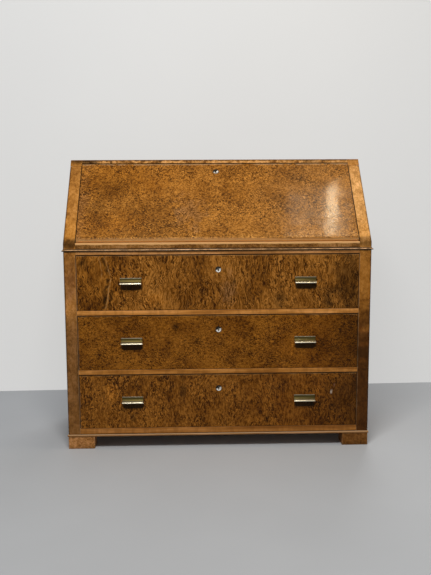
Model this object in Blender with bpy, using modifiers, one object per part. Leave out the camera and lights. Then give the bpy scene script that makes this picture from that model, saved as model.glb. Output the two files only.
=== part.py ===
"""Slant-front secretaire chest: three long drawers below a sloping fall that opens to a desk.

Metres, +Z up, the front faces -Y. The origin is on the floor, at the centre of the chest's outline.
Depths are measured backwards from the front plane of the stiles, heights from the floor. On the slope a
place is given by how far up the slope it is and how far behind the slope's face.
"""

import math

import bmesh
import bpy
from mathutils import Matrix, Vector

# Clearances
SEAT = 0.0003                  # between pieces that are glued or screwed together
OVERRUN = 0.004                # how far a cut runs past the piece it cuts

# Case
CASE_WIDTH = 1.100
CASE_DEPTH = 0.460
SIDE_THICKNESS = 0.022
STILE_WIDTH = 0.043
STILE_THICKNESS = 0.022
STILE_ROUND = 0.004            # rounded outer corner of a stile
BACK_THICKNESS = 0.010
BACK_BOARD_COUNT = 6
BACK_GROOVE = 0.002
BOTTOM_THICKNESS = 0.018
TOP_THICKNESS = 0.024
DESK_BOARD_THICKNESS = 0.021
ARRIS = 0.0012                 # softened edge of the case's boards
FINE_ARRIS = 0.0006            # softened edge of drawer fronts and the fall

# Base
FOOT_HEIGHT = 0.046
FOOT_WIDTH = 0.095
FOOT_DEPTH = 0.070
BASE_HEIGHT = 0.008
BASE_REACH = 0.003
BASE_MEMBER = 0.060
NOSE_SHARE = 0.42              # rounding of a moulding's nose, as a share of its height
ROUND_SEGMENTS = 3             # facets of a rounded edge

# Rails and drawer openings
BOTTOM_RAIL_HEIGHT = 0.022
DRAWER_OPENING = 0.200
RAIL_HEIGHT = 0.018
TOP_RAIL_FACE = 0.014
RAIL_DEPTH = 0.070
WAIST_HEIGHT = 0.008
WAIST_REACH = 0.005
RUNNER_LEDGE = 0.018
GUIDE_HEIGHT = 0.030

# Slope and fall
SLOPE_RISE = 0.293
SLOPE_RUN = 0.273
SLOPE_RAIL_FACE = 0.019        # visible edge of the top board above the fall
FALL_THICKNESS = 0.020
FALL_GAP = 0.0012
LEDGE_GAP = 0.0005             # between the open fall and the desk board's ledge
STOP_HEIGHT = 0.022
STOP_DEPTH = 0.018
BED_GAP = 0.001
NOSE_STEPS = 10

# Pivots of the fall
PIVOT_RADIUS = 0.003
PIVOT_REACH = 0.014
PIVOT_FIT = 0.0003
PIVOT_PLATE_LENGTH = 0.034
PIVOT_PLATE_WIDTH = 0.012
PIVOT_PLATE_THICKNESS = 0.002
PIVOT_STEPS = 20

# Slotted stays. The arm turns on the fall and slides on a stud fixed to the case
STAY_ALONG = 0.092             # arm's pivot, along the fall from the fall's own pivot
STAY_STANDOFF = 0.019          # arm's pivot, inwards from the middle of the fall's thickness
STUD_BACK = 0.120              # stud, behind the fall's pivot
STUD_UP = 0.084                # stud, above the fall's pivot
STAY_START_ANGLE = math.radians(-8.2)     # arm's lean when the fall is shut, back and down
STAY_TURN = math.radians(20.7)            # how far the arm turns while the fall opens
STAY_HALF_WIDTH = 0.0075
STAY_THICKNESS = 0.0025
STAY_PIN_RADIUS = 0.003
STAY_SLOT_FIT = 0.0006
STAY_SIDE_GAP = 0.0012
STAY_STEPS = 40
STAY_LEAD_STEPS = 10
STAY_CAP_STEPS = 10
STUD_HEAD_RADIUS = 0.005
STUD_HEAD_THICKNESS = 0.0015
STUD_ROOT = 0.010
BRACKET_LENGTH = 0.030
BRACKET_WIDTH = 0.020
BRACKET_THICKNESS = 0.0025
EAR_RADIUS = 0.0065

# Long drawers
DRAWER_RECESS = 0.0015
DRAWER_FRONT_THICKNESS = 0.022
DRAWER_GAP = 0.0015
DRAWER_LIFT = 0.0005
DRAWER_SIDE_THICKNESS = 0.012
DRAWER_SIDE_INSET = 0.0005     # drawer side, inside the end of the drawer front
DRAWER_SIDE_DROP = 0.008       # top of a drawer side, below the top of the opening
DRAWER_BACK_CLEAR = 0.012
DRAWER_BOTTOM_THICKNESS = 0.006
DRAWER_BOTTOM_HEIGHT = 0.008
DRAWER_GROOVE = 0.005
DRAWER_BACK_DROP = 0.006       # top of the drawer's back, below the tops of its sides
TAIL_COUNT = 4
TAIL_LENGTH = 0.014
TAIL_FLARE = 0.003             # how much wider a tail gets on each side, from root to tip
TAIL_ROOT_SHARE = 0.60         # width of a tail's root, as a share of the pitch of the tails
STOP_BLOCK_WIDTH = 0.050       # blocks on the rails, which a closed drawer's front rests against
STOP_BLOCK_DEPTH = 0.030
STOP_BLOCK_HEIGHT = 0.006
STOP_BLOCK_SPREAD = 0.250      # from the chest's centre to a block's centre

# Handles
HANDLE_LENGTH = 0.0765
HANDLE_HEIGHT = 0.022
HANDLE_REACH = 0.018
HANDLE_SHEET = 0.0020
HANDLE_LIP = 0.0022
HANDLE_WEB = 0.004
HANDLE_FLANGE_CLEAR = 0.006    # lower edge of the flange, above the lip's lowest line
HANDLE_SPREAD = 0.3135         # from the chest's centre to a handle's centre
HANDLE_DROP = 0.093            # handle's centre, below the top of the opening
HANDLE_CURVE_STEPS = 10
LIP_TURN = math.radians(270)   # from the face's lowest point round to the underside

# Locks and escutcheons
LOCK_WIDTH = 0.060
LOCK_BELOW = 0.018
LOCK_THICKNESS = 0.011
BOLT_WIDTH = 0.018
BOLT_THICKNESS = 0.005
BOLT_LENGTH = 0.024
BOLT_THROW = 0.008
BOLT_FIT = 0.0004
MORTISE_FIT = 0.0008           # round a bolt, in the rail that it enters
DRAWER_KEY_DROP = 0.054
FALL_KEY_DROP = 0.042
ESCUTCHEON_RADIUS = 0.011
ESCUTCHEON_THICKNESS = 0.003
ESCUTCHEON_RIM = 0.0015
ESCUTCHEON_ROUND = 0.0004      # fall of the rim at its outer edge
ESCUTCHEON_DISH = 0.0017
ESCUTCHEON_STEPS = 28
DISH_STEPS = 5
KEY_SLOT_WIDTH = 0.0040
KEY_SLOT_HEIGHT = 0.013
KEY_CAP_STEPS = 6
KEY_DEPTH = 0.004

# Pigeonholes and small drawers behind the fall
RACK_WALL = 0.008
RACK_SIDE_CLEAR = 0.012
RACK_TOP_CLEAR = 0.0025        # between the rack and the stop strip's level
RACK_FRONT_CLEAR = 0.0095      # between the closed fall and the rack's upper edge
BAY_WIDTH = 0.300
SMALL_OPENING = 0.076
SMALL_GAP = 0.001
SMALL_BACK_CLEAR = 0.020
SMALL_FRONT_THICKNESS = 0.010
SMALL_WALL = 0.005
SMALL_FLOOR = 0.004
KNOB_RADIUS = 0.007
KNOB_REACH = 0.016
KNOB_NECK = 0.0035
KNOB_FOOT_RADIUS = 0.0056
KNOB_FOOT_HEIGHT = 0.0012
KNOB_HEAD_STEPS = 7
KNOB_STEPS = 20

# Levels and planes that follow from the sizes
CASE_FLOOR = FOOT_HEIGHT + BASE_HEIGHT
OPENING_FLOORS = [CASE_FLOOR + BOTTOM_RAIL_HEIGHT + row * (DRAWER_OPENING + RAIL_HEIGHT) for row in range(3)]
OPENING_TOP = OPENING_FLOORS[2] + DRAWER_OPENING
WAIST_LEVEL = OPENING_TOP + TOP_RAIL_FACE
DESK_BOARD_LEVEL = WAIST_LEVEL + WAIST_HEIGHT
DESK_LEVEL = DESK_BOARD_LEVEL + DESK_BOARD_THICKNESS
BED_LEVEL = DESK_LEVEL + LEDGE_GAP + FALL_THICKNESS
TOP_LEVEL = DESK_LEVEL + SLOPE_RISE
TOP_UNDERSIDE = TOP_LEVEL - TOP_THICKNESS

HALF_WIDTH = CASE_WIDTH / 2
STILE_INNER = HALF_WIDTH - STILE_WIDTH
SIDE_INNER = HALF_WIDTH - SIDE_THICKNESS
FRONT = (HANDLE_REACH - DRAWER_RECESS - CASE_DEPTH) / 2
BACK = FRONT + CASE_DEPTH
BACK_PANEL_FACE = CASE_DEPTH - BACK_THICKNESS

SLOPE_ANGLE = math.atan2(SLOPE_RISE, SLOPE_RUN)
SLOPE_LENGTH = math.hypot(SLOPE_RISE, SLOPE_RUN)
FALL_OPENING_ANGLE = math.pi - SLOPE_ANGLE
FALL_TOP = SLOPE_LENGTH - SLOPE_RAIL_FACE
PIVOT_UP_SLOPE = (LEDGE_GAP + FALL_THICKNESS / 2 * (1 + math.cos(SLOPE_ANGLE))) / math.sin(SLOPE_ANGLE)
STAY_PLANE = STILE_INNER - STAY_SIDE_GAP - STAY_THICKNESS / 2

# Frames for outlines: across runs along X, upright along Y, flat along Z
ACROSS = Matrix(((0, 0, 1), (1, 0, 0), (0, 1, 0))).to_4x4()
UPRIGHT = Matrix(((1, 0, 0), (0, 0, -1), (0, 1, 0))).to_4x4()
FLAT = Matrix.Identity(4)
FLAT_ANGLE = math.radians(0.05)     # faces that turn by less than this are one flat face


def clear_scene():
    """Remove whatever the opened file holds."""
    for item in list(bpy.data.objects):
        bpy.data.objects.remove(item, do_unlink=True)


def new_collection(name):
    """A collection linked to the scene."""
    group = bpy.data.collections.new(name)
    bpy.context.scene.collection.children.link(group)
    return group


def finish(name, colour, roughness, metallic=0.0):
    """A Principled BSDF material."""
    material = bpy.data.materials.new(name)
    material.use_nodes = True
    shader = material.node_tree.nodes["Principled BSDF"]
    shader.inputs["Base Color"].default_value = (*colour, 1.0)
    shader.inputs["Roughness"].default_value = roughness
    shader.inputs["Metallic"].default_value = metallic
    return material


clear_scene()
PARTS = new_collection("secretaire_chest")
CUTTERS = new_collection("cutters")

FALL_BURR = ("fall_burr", (0.42, 0.20, 0.055), 0.28)
DRAWER_BURR = ("drawer_burr", (0.26, 0.11, 0.035), 0.32)
CASE_VENEER = ("case_veneer", (0.30, 0.15, 0.05), 0.33)
RAIL_VENEER = ("rail_veneer", (0.38, 0.19, 0.07), 0.33)
EDGE_VENEER = ("edge_veneer", (0.20, 0.11, 0.045), 0.35)
PINE = ("pine", (0.55, 0.38, 0.20), 0.60)
BIRCH = ("birch", (0.62, 0.46, 0.28), 0.50)
BRASS = ("aged_brass", (0.50, 0.42, 0.22), 0.35, 1.0)
NICKEL = ("nickel", (0.70, 0.68, 0.64), 0.25, 1.0)
STEEL = ("steel", (0.45, 0.45, 0.46), 0.40, 1.0)


def place(name, mesh, look, frame):
    """Put a mesh in the scene: a piece with its own material, or a hidden cutter where look is None."""
    item = bpy.data.objects.new(name, mesh)
    item.matrix_world = frame
    if look is None:
        CUTTERS.objects.link(item)
        item.hide_render = True
        item.display_type = "WIRE"
    else:
        PARTS.objects.link(item)
        title, *values = look
        mesh.materials.append(finish(f"{name}_{title}", *values))
    return item


def block(name, low, high, look, frame=FLAT):
    """A rectangular block between two opposite corners, given in the frame."""
    low, high = [Vector(choose(*pair) for pair in zip(low, high)) for choose in (min, max)]
    shape = bmesh.new()
    bmesh.ops.create_cube(shape, size=1.0, matrix=Matrix.Diagonal((*(high - low), 1.0)))
    mesh = bpy.data.meshes.new(name)
    shape.to_mesh(mesh)
    shape.free()
    return place(name, mesh, look, frame @ Matrix.Translation((low + high) / 2))


def cylinder(name, radius, low, high, look, frame, steps):
    """A cylinder about the frame's Z axis, from low to high."""
    shape = bmesh.new()
    bmesh.ops.create_cone(
        shape, cap_ends=True, segments=steps, radius1=radius, radius2=radius, depth=high - low,
    )
    mesh = bpy.data.meshes.new(name)
    shape.to_mesh(mesh)
    shape.free()
    item = place(name, mesh, look, frame @ Matrix.Translation((0, 0, (low + high) / 2)))
    shade_round(item)
    return item


def outline_mesh(name, outline, thickness):
    """Mesh of a flat outline with a thickness, centred on its own plane, with its caps welded on."""
    curve = bpy.data.curves.new(name, "CURVE")
    curve.dimensions = "2D"
    curve.fill_mode = "BOTH"
    curve.extrude = thickness / 2
    spline = curve.splines.new("POLY")
    spline.points.add(len(outline) - 1)
    for point, (across, up) in zip(spline.points, outline):
        point.co = (across, up, 0, 1)
    spline.use_cyclic_u = True
    guide = bpy.data.objects.new(name, curve)
    bpy.context.scene.collection.objects.link(guide)
    bpy.context.view_layer.update()
    mesh = bpy.data.meshes.new_from_object(guide.evaluated_get(bpy.context.evaluated_depsgraph_get()))
    bpy.data.objects.remove(guide, do_unlink=True)
    bpy.data.curves.remove(curve)
    shape = bmesh.new()
    shape.from_mesh(mesh)
    bmesh.ops.remove_doubles(shape, verts=shape.verts, dist=SEAT / 10)
    bmesh.ops.dissolve_limit(shape, angle_limit=FLAT_ANGLE, verts=shape.verts, edges=shape.edges)
    bmesh.ops.recalc_face_normals(shape, faces=shape.faces)
    shape.to_mesh(mesh)
    shape.free()
    return mesh


def prism(name, outline, low, high, look, frame=ACROSS):
    """An outline carried along the frame's Z axis from low to high."""
    mesh = outline_mesh(name, outline, high - low)
    return place(name, mesh, look, frame @ Matrix.Translation((0, 0, (low + high) / 2)))


def turned(name, profile, look, frame, steps):
    """A profile of (radius, height) points turned about the frame's Z axis."""
    mesh = bpy.data.meshes.new(name)
    edges = [(step, step + 1) for step in range(len(profile) - 1)]
    mesh.from_pydata([(radius, 0, height) for radius, height in profile], edges, [])
    item = place(name, mesh, look, frame)
    screw = item.modifiers.new("turn", "SCREW")
    screw.angle = 2 * math.pi
    screw.steps = steps
    screw.render_steps = steps
    screw.use_merge_vertices = True
    screw.merge_threshold = SEAT / 10
    return item


def shade_round(item):
    """Smooth shading with the sharp edges kept."""
    item.data.shade_smooth()
    item.data.set_sharp_from_angle(angle=math.radians(40))


def soften(item, width, segments=1):
    """Round off the sharp edges of a piece."""
    bevel = item.modifiers.new("soft edges", "BEVEL")
    bevel.width = width
    bevel.segments = segments
    bevel.limit_method = "ANGLE"
    bevel.angle_limit = math.radians(30)
    return item


def round_edges(item, radius, segments, chosen):
    """Round only the edges whose two ends, in world places, the test called chosen accepts."""
    weights = item.data.attributes.new("bevel_weight_edge", "FLOAT", "EDGE")
    points = [item.matrix_world @ vertex.co for vertex in item.data.vertices]
    for edge in item.data.edges:
        if chosen(*(points[index] for index in edge.vertices)):
            weights.data[edge.index].value = 1.0
    bevel = item.modifiers.new("round edges", "BEVEL")
    bevel.width = radius
    bevel.segments = segments
    bevel.limit_method = "WEIGHT"
    return item


def combine(item, other, operation):
    """Cut another shape out of a piece, or join it on."""
    boolean = item.modifiers.new(f"{operation.lower()} {other.name}", "BOOLEAN")
    boolean.operation = operation
    boolean.solver = "EXACT"
    boolean.object = other
    return item


def cut(item, other):
    """Cut another shape out of a piece."""
    return combine(item, other, "DIFFERENCE")


def join(item, other):
    """Join another shape onto a piece."""
    return combine(item, other, "UNION")


def slope_point(up, behind):
    """Depth and height of a place on the slope, up it from the desk's front edge and behind its face."""
    depth = up * math.cos(SLOPE_ANGLE) + behind * math.sin(SLOPE_ANGLE)
    height = DESK_LEVEL + up * math.sin(SLOPE_ANGLE) - behind * math.cos(SLOPE_ANGLE)
    return depth, height


def slope_depth(height, behind):
    """Depth, at a height, of the plane that lies behind the slope's face."""
    return (behind + (height - DESK_LEVEL) * math.cos(SLOPE_ANGLE)) / math.sin(SLOPE_ANGLE)


def slope_corner(behind):
    """Depth and height where the planes behind the front and behind the slope meet."""
    rise = behind * (math.sin(SLOPE_ANGLE) - 1) / math.cos(SLOPE_ANGLE)
    return behind, DESK_LEVEL + rise


def placed(outline):
    """An outline of depths and heights, moved to where the chest stands."""
    return [(FRONT + depth, height) for depth, height in outline]


def slope_frame(across, up, behind):
    """Frame on the slope: X across, Y into the case square to the slope, Z up the slope."""
    depth, height = slope_point(up, behind)
    turn = Matrix.Rotation(SLOPE_ANGLE - math.pi / 2, 4, "X")
    return Matrix.Translation((across, FRONT + depth, height)) @ turn


def notched_board(name, low, high, depth, notch, look):
    """A board that reaches the side panels, notched round the stiles and softened along its front."""
    wide, narrow = SIDE_INNER - SEAT, STILE_INNER - SEAT
    board = block(name, (-wide, FRONT, low), (wide, FRONT + depth, high), look)
    round_edges(board, FINE_ARRIS, 1, on_front)
    for hand, side in (("left", -1), ("right", 1)):
        corner = block(
            f"{name}_notch_{hand}",
            (side * narrow, FRONT - OVERRUN, low - OVERRUN),
            (side * (wide + OVERRUN), FRONT + notch, high + OVERRUN),
            None,
        )
        cut(board, corner)
    return board


def on_front(first, last):
    """True for the long level edges in the front plane."""
    return max(first.y, last.y) < FRONT + SEAT and abs(first.x - last.x) > STILE_WIDTH


def make_sides():
    """Side panels with the slope's outline, each with the runners and guides that are glued to it."""
    front = STILE_THICKNESS + SEAT
    floor, top = CASE_FLOOR + SEAT, TOP_UNDERSIDE - SEAT
    outline = placed([
        (front, floor), slope_corner(front), (slope_depth(top, front), top),
        (CASE_DEPTH, top), (CASE_DEPTH, floor),
    ])
    for name, side in (("side_panel_left", -1), ("side_panel_right", 1)):
        low, high = sorted((side * SIDE_INNER, side * HALF_WIDTH))
        panel = prism(name, outline, low, high, CASE_VENEER)
        for number, section in enumerate(runner_sections()):
            section = [(side * across, height) for across, height in section]
            join(panel, lengthwise(f"{name}_runner_{number}", section))


def runner_sections():
    """Sections of the right-hand runners, as across and height, rooted in the side panel.

    The lowest drawer runs on the bottom board between plain guides, the two above run on ledges with
    guides, and a strip above the top drawer keeps it level when it is pulled out.
    """
    root, ledge = SIDE_INNER + OVERRUN, STILE_INNER - RUNNER_LEDGE
    low, high = OPENING_FLOORS[0] + SEAT, OPENING_FLOORS[0] + GUIDE_HEIGHT
    sections = [[(root, low), (root, high), (STILE_INNER, high), (STILE_INNER, low)]]
    for floor in OPENING_FLOORS[1:]:
        low, high = floor - RAIL_HEIGHT, floor + GUIDE_HEIGHT
        sections.append([
            (root, low), (root, high), (STILE_INNER, high),
            (STILE_INNER, floor), (ledge, floor), (ledge, low),
        ])
    low, high = OPENING_TOP, DESK_BOARD_LEVEL
    sections.append([(root, low), (root, high), (ledge, high), (ledge, low)])
    return sections


def lengthwise(name, section):
    """A member that runs from the back of the rails to the back panel, ready to be joined on."""
    start, end = FRONT + RAIL_DEPTH + SEAT, FRONT + BACK_PANEL_FACE - SEAT
    return prism(name, section, -end, -start, None, UPRIGHT)


def make_stiles():
    """Front stiles: upright to the desk's level, then sloping back to the top."""
    floor, top = CASE_FLOOR + SEAT, TOP_UNDERSIDE - SEAT
    outline = placed([
        (0, floor), (0, DESK_LEVEL), (slope_depth(top, 0), top),
        (slope_depth(top, STILE_THICKNESS), top), slope_corner(STILE_THICKNESS), (STILE_THICKNESS, floor),
    ])
    for name, side in (("stile_left", -1), ("stile_right", 1)):
        low, high = sorted((side * STILE_INNER, side * HALF_WIDTH))
        stile = prism(name, outline, low, high, CASE_VENEER)
        round_edges(stile, STILE_ROUND, ROUND_SEGMENTS, on_outer_arris)
        plate = PIVOT_PLATE_THICKNESS + SEAT
        recess = block(
            f"{name}_plate_recess",
            (-side * OVERRUN, -PIVOT_PLATE_WIDTH / 2 - SEAT, -PIVOT_PLATE_LENGTH / 2 - SEAT),
            (side * plate, PIVOT_PLATE_WIDTH / 2 + SEAT, PIVOT_PLATE_LENGTH / 2 + SEAT),
            None,
            slope_frame(side * STILE_INNER, PIVOT_UP_SLOPE, FALL_THICKNESS / 2),
        )
        cut(stile, recess)


def on_outer_arris(first, last):
    """True for a stile's long outer edges, on the front and on the slope."""
    outer = all(abs(abs(point.x) - HALF_WIDTH) < SEAT for point in (first, last))
    face = all(point.y - FRONT < max(0, slope_depth(point.z, 0)) + SEAT for point in (first, last))
    return outer and face and (first - last).length > STILE_WIDTH


def make_top():
    """Top board, bevelled along the slope and rebated for the fall, with the stop strip behind the fall."""
    outline = placed([
        (slope_depth(TOP_UNDERSIDE, 0), TOP_UNDERSIDE), (SLOPE_RUN, TOP_LEVEL),
        (CASE_DEPTH, TOP_LEVEL), (CASE_DEPTH, TOP_UNDERSIDE),
    ])
    top = prism("top_board", outline, -HALF_WIDTH, HALF_WIDTH, CASE_VENEER)
    soften(top, ARRIS)
    rebate_drop = TOP_THICKNESS + FALL_THICKNESS
    rebate = placed([
        slope_point(FALL_TOP, -OVERRUN), slope_point(FALL_TOP, FALL_THICKNESS + OVERRUN),
        slope_point(FALL_TOP - rebate_drop, FALL_THICKNESS + OVERRUN),
        slope_point(FALL_TOP - rebate_drop, -OVERRUN),
    ])
    cut(top, prism("fall_rebate", rebate, -STILE_INNER, STILE_INNER, None))
    mortise(top, slope_frame(0, FALL_TOP - FALL_KEY_DROP, 0), FALL_KEY_DROP, FALL_THICKNESS)

    strip_top = TOP_UNDERSIDE + ARRIS
    strip_floor = TOP_UNDERSIDE - STOP_HEIGHT
    face = FALL_THICKNESS + SEAT
    outline = placed([
        (slope_depth(strip_floor, face), strip_floor), (slope_depth(strip_top, face), strip_top),
        (slope_depth(strip_top, face) + STOP_DEPTH, strip_top),
        (slope_depth(strip_top, face) + STOP_DEPTH, strip_floor),
    ])
    join(top, prism("fall_stop", outline, SEAT - STILE_INNER, STILE_INNER - SEAT, None))


def make_boards():
    """Desk board, writing bed, bottom board and back panel."""
    back = BACK_PANEL_FACE - SEAT
    notch = slope_depth(DESK_LEVEL, STILE_THICKNESS) + SEAT
    notched_board("desk_board", DESK_BOARD_LEVEL + SEAT, DESK_LEVEL, back, notch, EDGE_VENEER)

    face = FALL_THICKNESS + BED_GAP
    floor = DESK_LEVEL + SEAT
    outline = placed([
        (slope_depth(floor, face), floor), (slope_depth(BED_LEVEL, face), BED_LEVEL),
        (back, BED_LEVEL), (back, floor),
    ])
    bed = prism("writing_bed", outline, SEAT - STILE_INNER, STILE_INNER - SEAT, BIRCH)
    soften(bed, FINE_ARRIS)

    block(
        "bottom_board",
        (SEAT - SIDE_INNER, FRONT + RAIL_DEPTH + SEAT, OPENING_FLOORS[0] - BOTTOM_THICKNESS),
        (SIDE_INNER - SEAT, FRONT + back, OPENING_FLOORS[0]),
        PINE,
    )

    panel = block(
        "back_panel",
        (SEAT - SIDE_INNER, FRONT + BACK_PANEL_FACE, CASE_FLOOR + SEAT),
        (SIDE_INNER - SEAT, BACK, TOP_UNDERSIDE - SEAT),
        PINE,
    )
    for joint in range(1, BACK_BOARD_COUNT):
        across = -SIDE_INNER + joint * 2 * SIDE_INNER / BACK_BOARD_COUNT
        groove = block(
            f"back_groove_{joint}",
            (across - BACK_GROOVE / 2, BACK - BACK_GROOVE, CASE_FLOOR - OVERRUN),
            (across + BACK_GROOVE / 2, BACK + OVERRUN, TOP_UNDERSIDE + OVERRUN),
            None,
        )
        cut(panel, groove)


def make_rails():
    """Front rails, with a mortise in each that a drawer's lock bolt enters."""
    notch = STILE_THICKNESS + SEAT
    low, high = CASE_FLOOR + SEAT, OPENING_FLOORS[0]
    stop_blocks(notched_board("bottom_rail", low, high, RAIL_DEPTH, notch, RAIL_VENEER), high)
    rows = (
        ("lower_rail", OPENING_FLOORS[1] - RAIL_HEIGHT, OPENING_FLOORS[1]),
        ("upper_rail", OPENING_FLOORS[2] - RAIL_HEIGHT, OPENING_FLOORS[2]),
        ("top_rail", OPENING_TOP, DESK_BOARD_LEVEL),
    )
    for name, low, high in rows:
        rail = notched_board(name, low, high, RAIL_DEPTH, notch, RAIL_VENEER)
        frame = Matrix.Translation((0, FRONT + DRAWER_RECESS, low - DRAWER_KEY_DROP))
        mortise(rail, frame, DRAWER_KEY_DROP, DRAWER_FRONT_THICKNESS)
        if high in OPENING_FLOORS:
            stop_blocks(rail, high)


def stop_blocks(rail, level):
    """Two low blocks on a rail, just behind where the front of the drawer above it closes."""
    start = FRONT + DRAWER_RECESS + DRAWER_FRONT_THICKNESS + SEAT
    for side in (-1, 1):
        left = side * STOP_BLOCK_SPREAD - STOP_BLOCK_WIDTH / 2
        stop = block(
            f"{rail.name}_stop_{side}",
            (left, start, level - OVERRUN),
            (left + STOP_BLOCK_WIDTH, start + STOP_BLOCK_DEPTH, level + STOP_BLOCK_HEIGHT),
            None,
        )
        join(rail, stop)


def make_mouldings():
    """Waist moulding round the case, and the projecting base frame."""
    waist = block(
        "waist_moulding",
        (-HALF_WIDTH - WAIST_REACH, FRONT - WAIST_REACH, WAIST_LEVEL),
        (HALF_WIDTH + WAIST_REACH, BACK, WAIST_LEVEL + WAIST_HEIGHT),
        RAIL_VENEER,
    )
    round_edges(waist, WAIST_HEIGHT * NOSE_SHARE, ROUND_SEGMENTS, on_nose)
    hollow = block(
        "case_in_waist",
        (-HALF_WIDTH - SEAT, FRONT - SEAT, WAIST_LEVEL - OVERRUN),
        (HALF_WIDTH + SEAT, BACK + OVERRUN, WAIST_LEVEL + WAIST_HEIGHT + OVERRUN),
        None,
    )
    cut(waist, hollow)

    base = block(
        "base_frame",
        (-HALF_WIDTH - BASE_REACH, FRONT - BASE_REACH, FOOT_HEIGHT),
        (HALF_WIDTH + BASE_REACH, BACK, CASE_FLOOR),
        RAIL_VENEER,
    )
    round_edges(base, BASE_HEIGHT * NOSE_SHARE, ROUND_SEGMENTS, on_nose)
    opening = block(
        "base_opening",
        (BASE_MEMBER - HALF_WIDTH, FRONT + BASE_MEMBER, FOOT_HEIGHT - OVERRUN),
        (HALF_WIDTH - BASE_MEMBER, BACK - BASE_MEMBER, CASE_FLOOR + OVERRUN),
        None,
    )
    cut(base, opening)


def on_nose(first, last):
    """True for the level edges along the front and the sides of a moulding."""
    level = abs(first.z - last.z) < SEAT
    at_back = all(point.y > BACK - SEAT for point in (first, last))
    return level and not at_back


def make_feet():
    """Block feet under the corners of the base frame."""
    for row, start in (("front", FRONT), ("back", BACK - FOOT_DEPTH)):
        for hand, side in (("left", -1), ("right", 1)):
            outer, inner = side * HALF_WIDTH, side * (HALF_WIDTH - FOOT_WIDTH)
            foot = block(
                f"foot_{row}_{hand}",
                (outer, start, 0), (inner, start + FOOT_DEPTH, FOOT_HEIGHT - SEAT), CASE_VENEER,
            )
            soften(foot, ARRIS)


def make_cheeks():
    """Cheeks that line the desk beside the stays, drilled for the studs."""
    floor, top = DESK_LEVEL + SEAT, TOP_UNDERSIDE - SEAT
    face = STILE_THICKNESS + SEAT
    back = BACK_PANEL_FACE - SEAT
    outline = placed([
        (slope_depth(floor, face), floor), (slope_depth(top, face), top), (back, top), (back, floor),
    ])
    for name, side in (("cheek_left", -1), ("cheek_right", 1)):
        low, high = sorted((side * STILE_INNER, side * (SIDE_INNER - SEAT)))
        cheek = prism(name, outline, low, high, BIRCH)
        hole = cylinder(
            f"{name}_stud_hole", STAY_PIN_RADIUS + SEAT, -OVERRUN, STUD_ROOT + SEAT, None,
            stud_frame(side), PIVOT_STEPS,
        )
        cut(cheek, hole)


def pivot_place():
    """Depth and height of the fall's pivot."""
    return slope_point(PIVOT_UP_SLOPE, FALL_THICKNESS / 2)


def sideways_frame(side, across, depth, height):
    """Frame whose Z axis points outwards, towards the given side of the chest."""
    turn = Matrix.Rotation(side * math.pi / 2, 4, "Y")
    return Matrix.Translation((side * across, FRONT + depth, height)) @ turn


def stud_frame(side):
    """Frame at a stay's stud, on the cheek's inner face, with Z pointing outwards."""
    depth, height = pivot_place()
    return sideways_frame(side, STILE_INNER, depth + STUD_BACK, height + STUD_UP)


def stay_pivot(turn):
    """Place of the stay arm's pivot, from the fall's pivot, when the fall has turned by an angle."""
    angle = SLOPE_ANGLE + turn
    depth = STAY_ALONG * math.cos(angle) + STAY_STANDOFF * math.sin(angle)
    height = STAY_ALONG * math.sin(angle) - STAY_STANDOFF * math.cos(angle)
    return depth, height


def stud_from_arm(share):
    """The stud as the arm sees it when the fall has opened by a share of its whole turn."""
    depth, height = stay_pivot(share * FALL_OPENING_ANGLE)
    lean = STAY_START_ANGLE + share * STAY_TURN
    back, up = STUD_BACK - depth, STUD_UP - height
    along = back * math.cos(lean) + up * math.sin(lean)
    above = up * math.cos(lean) - back * math.sin(lean)
    return Vector((along, above))


def stay_centre_line():
    """The arm's centre line: a lead from its pivot, then the path that the stud takes along the arm."""
    path = [stud_from_arm(step / STAY_STEPS) for step in range(STAY_STEPS + 1)]
    first, tangent = path[0], (path[1] - path[0]).normalized()
    reach = first.length
    lead = []
    for step in range(STAY_LEAD_STEPS):
        share = step / STAY_LEAD_STEPS
        start_weight = (1 - share) ** 2 * share
        end_weight = share ** 2 * (share - 1)
        whole = share ** 2 * (3 - 2 * share)
        lead.append(first * whole + first * start_weight + tangent * reach * end_weight)
    return lead, path


def band_outline(line, half_width, cap_steps):
    """Outline of a band that follows a line of points, with round ends."""
    count = len(line)
    tangents = []
    for index in range(count):
        before, after = line[max(index - 1, 0)], line[min(index + 1, count - 1)]
        tangents.append((after - before).normalized())
    normals = [Vector((-tangent.y, tangent.x)) for tangent in tangents]
    upper = [point + normal * half_width for point, normal in zip(line, normals)]
    lower = [point - normal * half_width for point, normal in zip(line, normals)]
    return upper + round_end(line[-1], tangents[-1], half_width, cap_steps) + lower[::-1] + round_end(
        line[0], -tangents[0], half_width, cap_steps)


def round_end(centre, forward, radius, steps):
    """Half circle that runs clockwise round the end of a band."""
    start = math.atan2(forward.y, forward.x) + math.pi / 2
    angles = [start - math.pi * step / steps for step in range(1, steps)]
    return [centre + radius * Vector((math.cos(angle), math.sin(angle))) for angle in angles]


def circle(radius, steps):
    """Points round a circle about the origin."""
    angles = [2 * math.pi * step / steps for step in range(steps)]
    return [(radius * math.cos(angle), radius * math.sin(angle)) for angle in angles]


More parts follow.
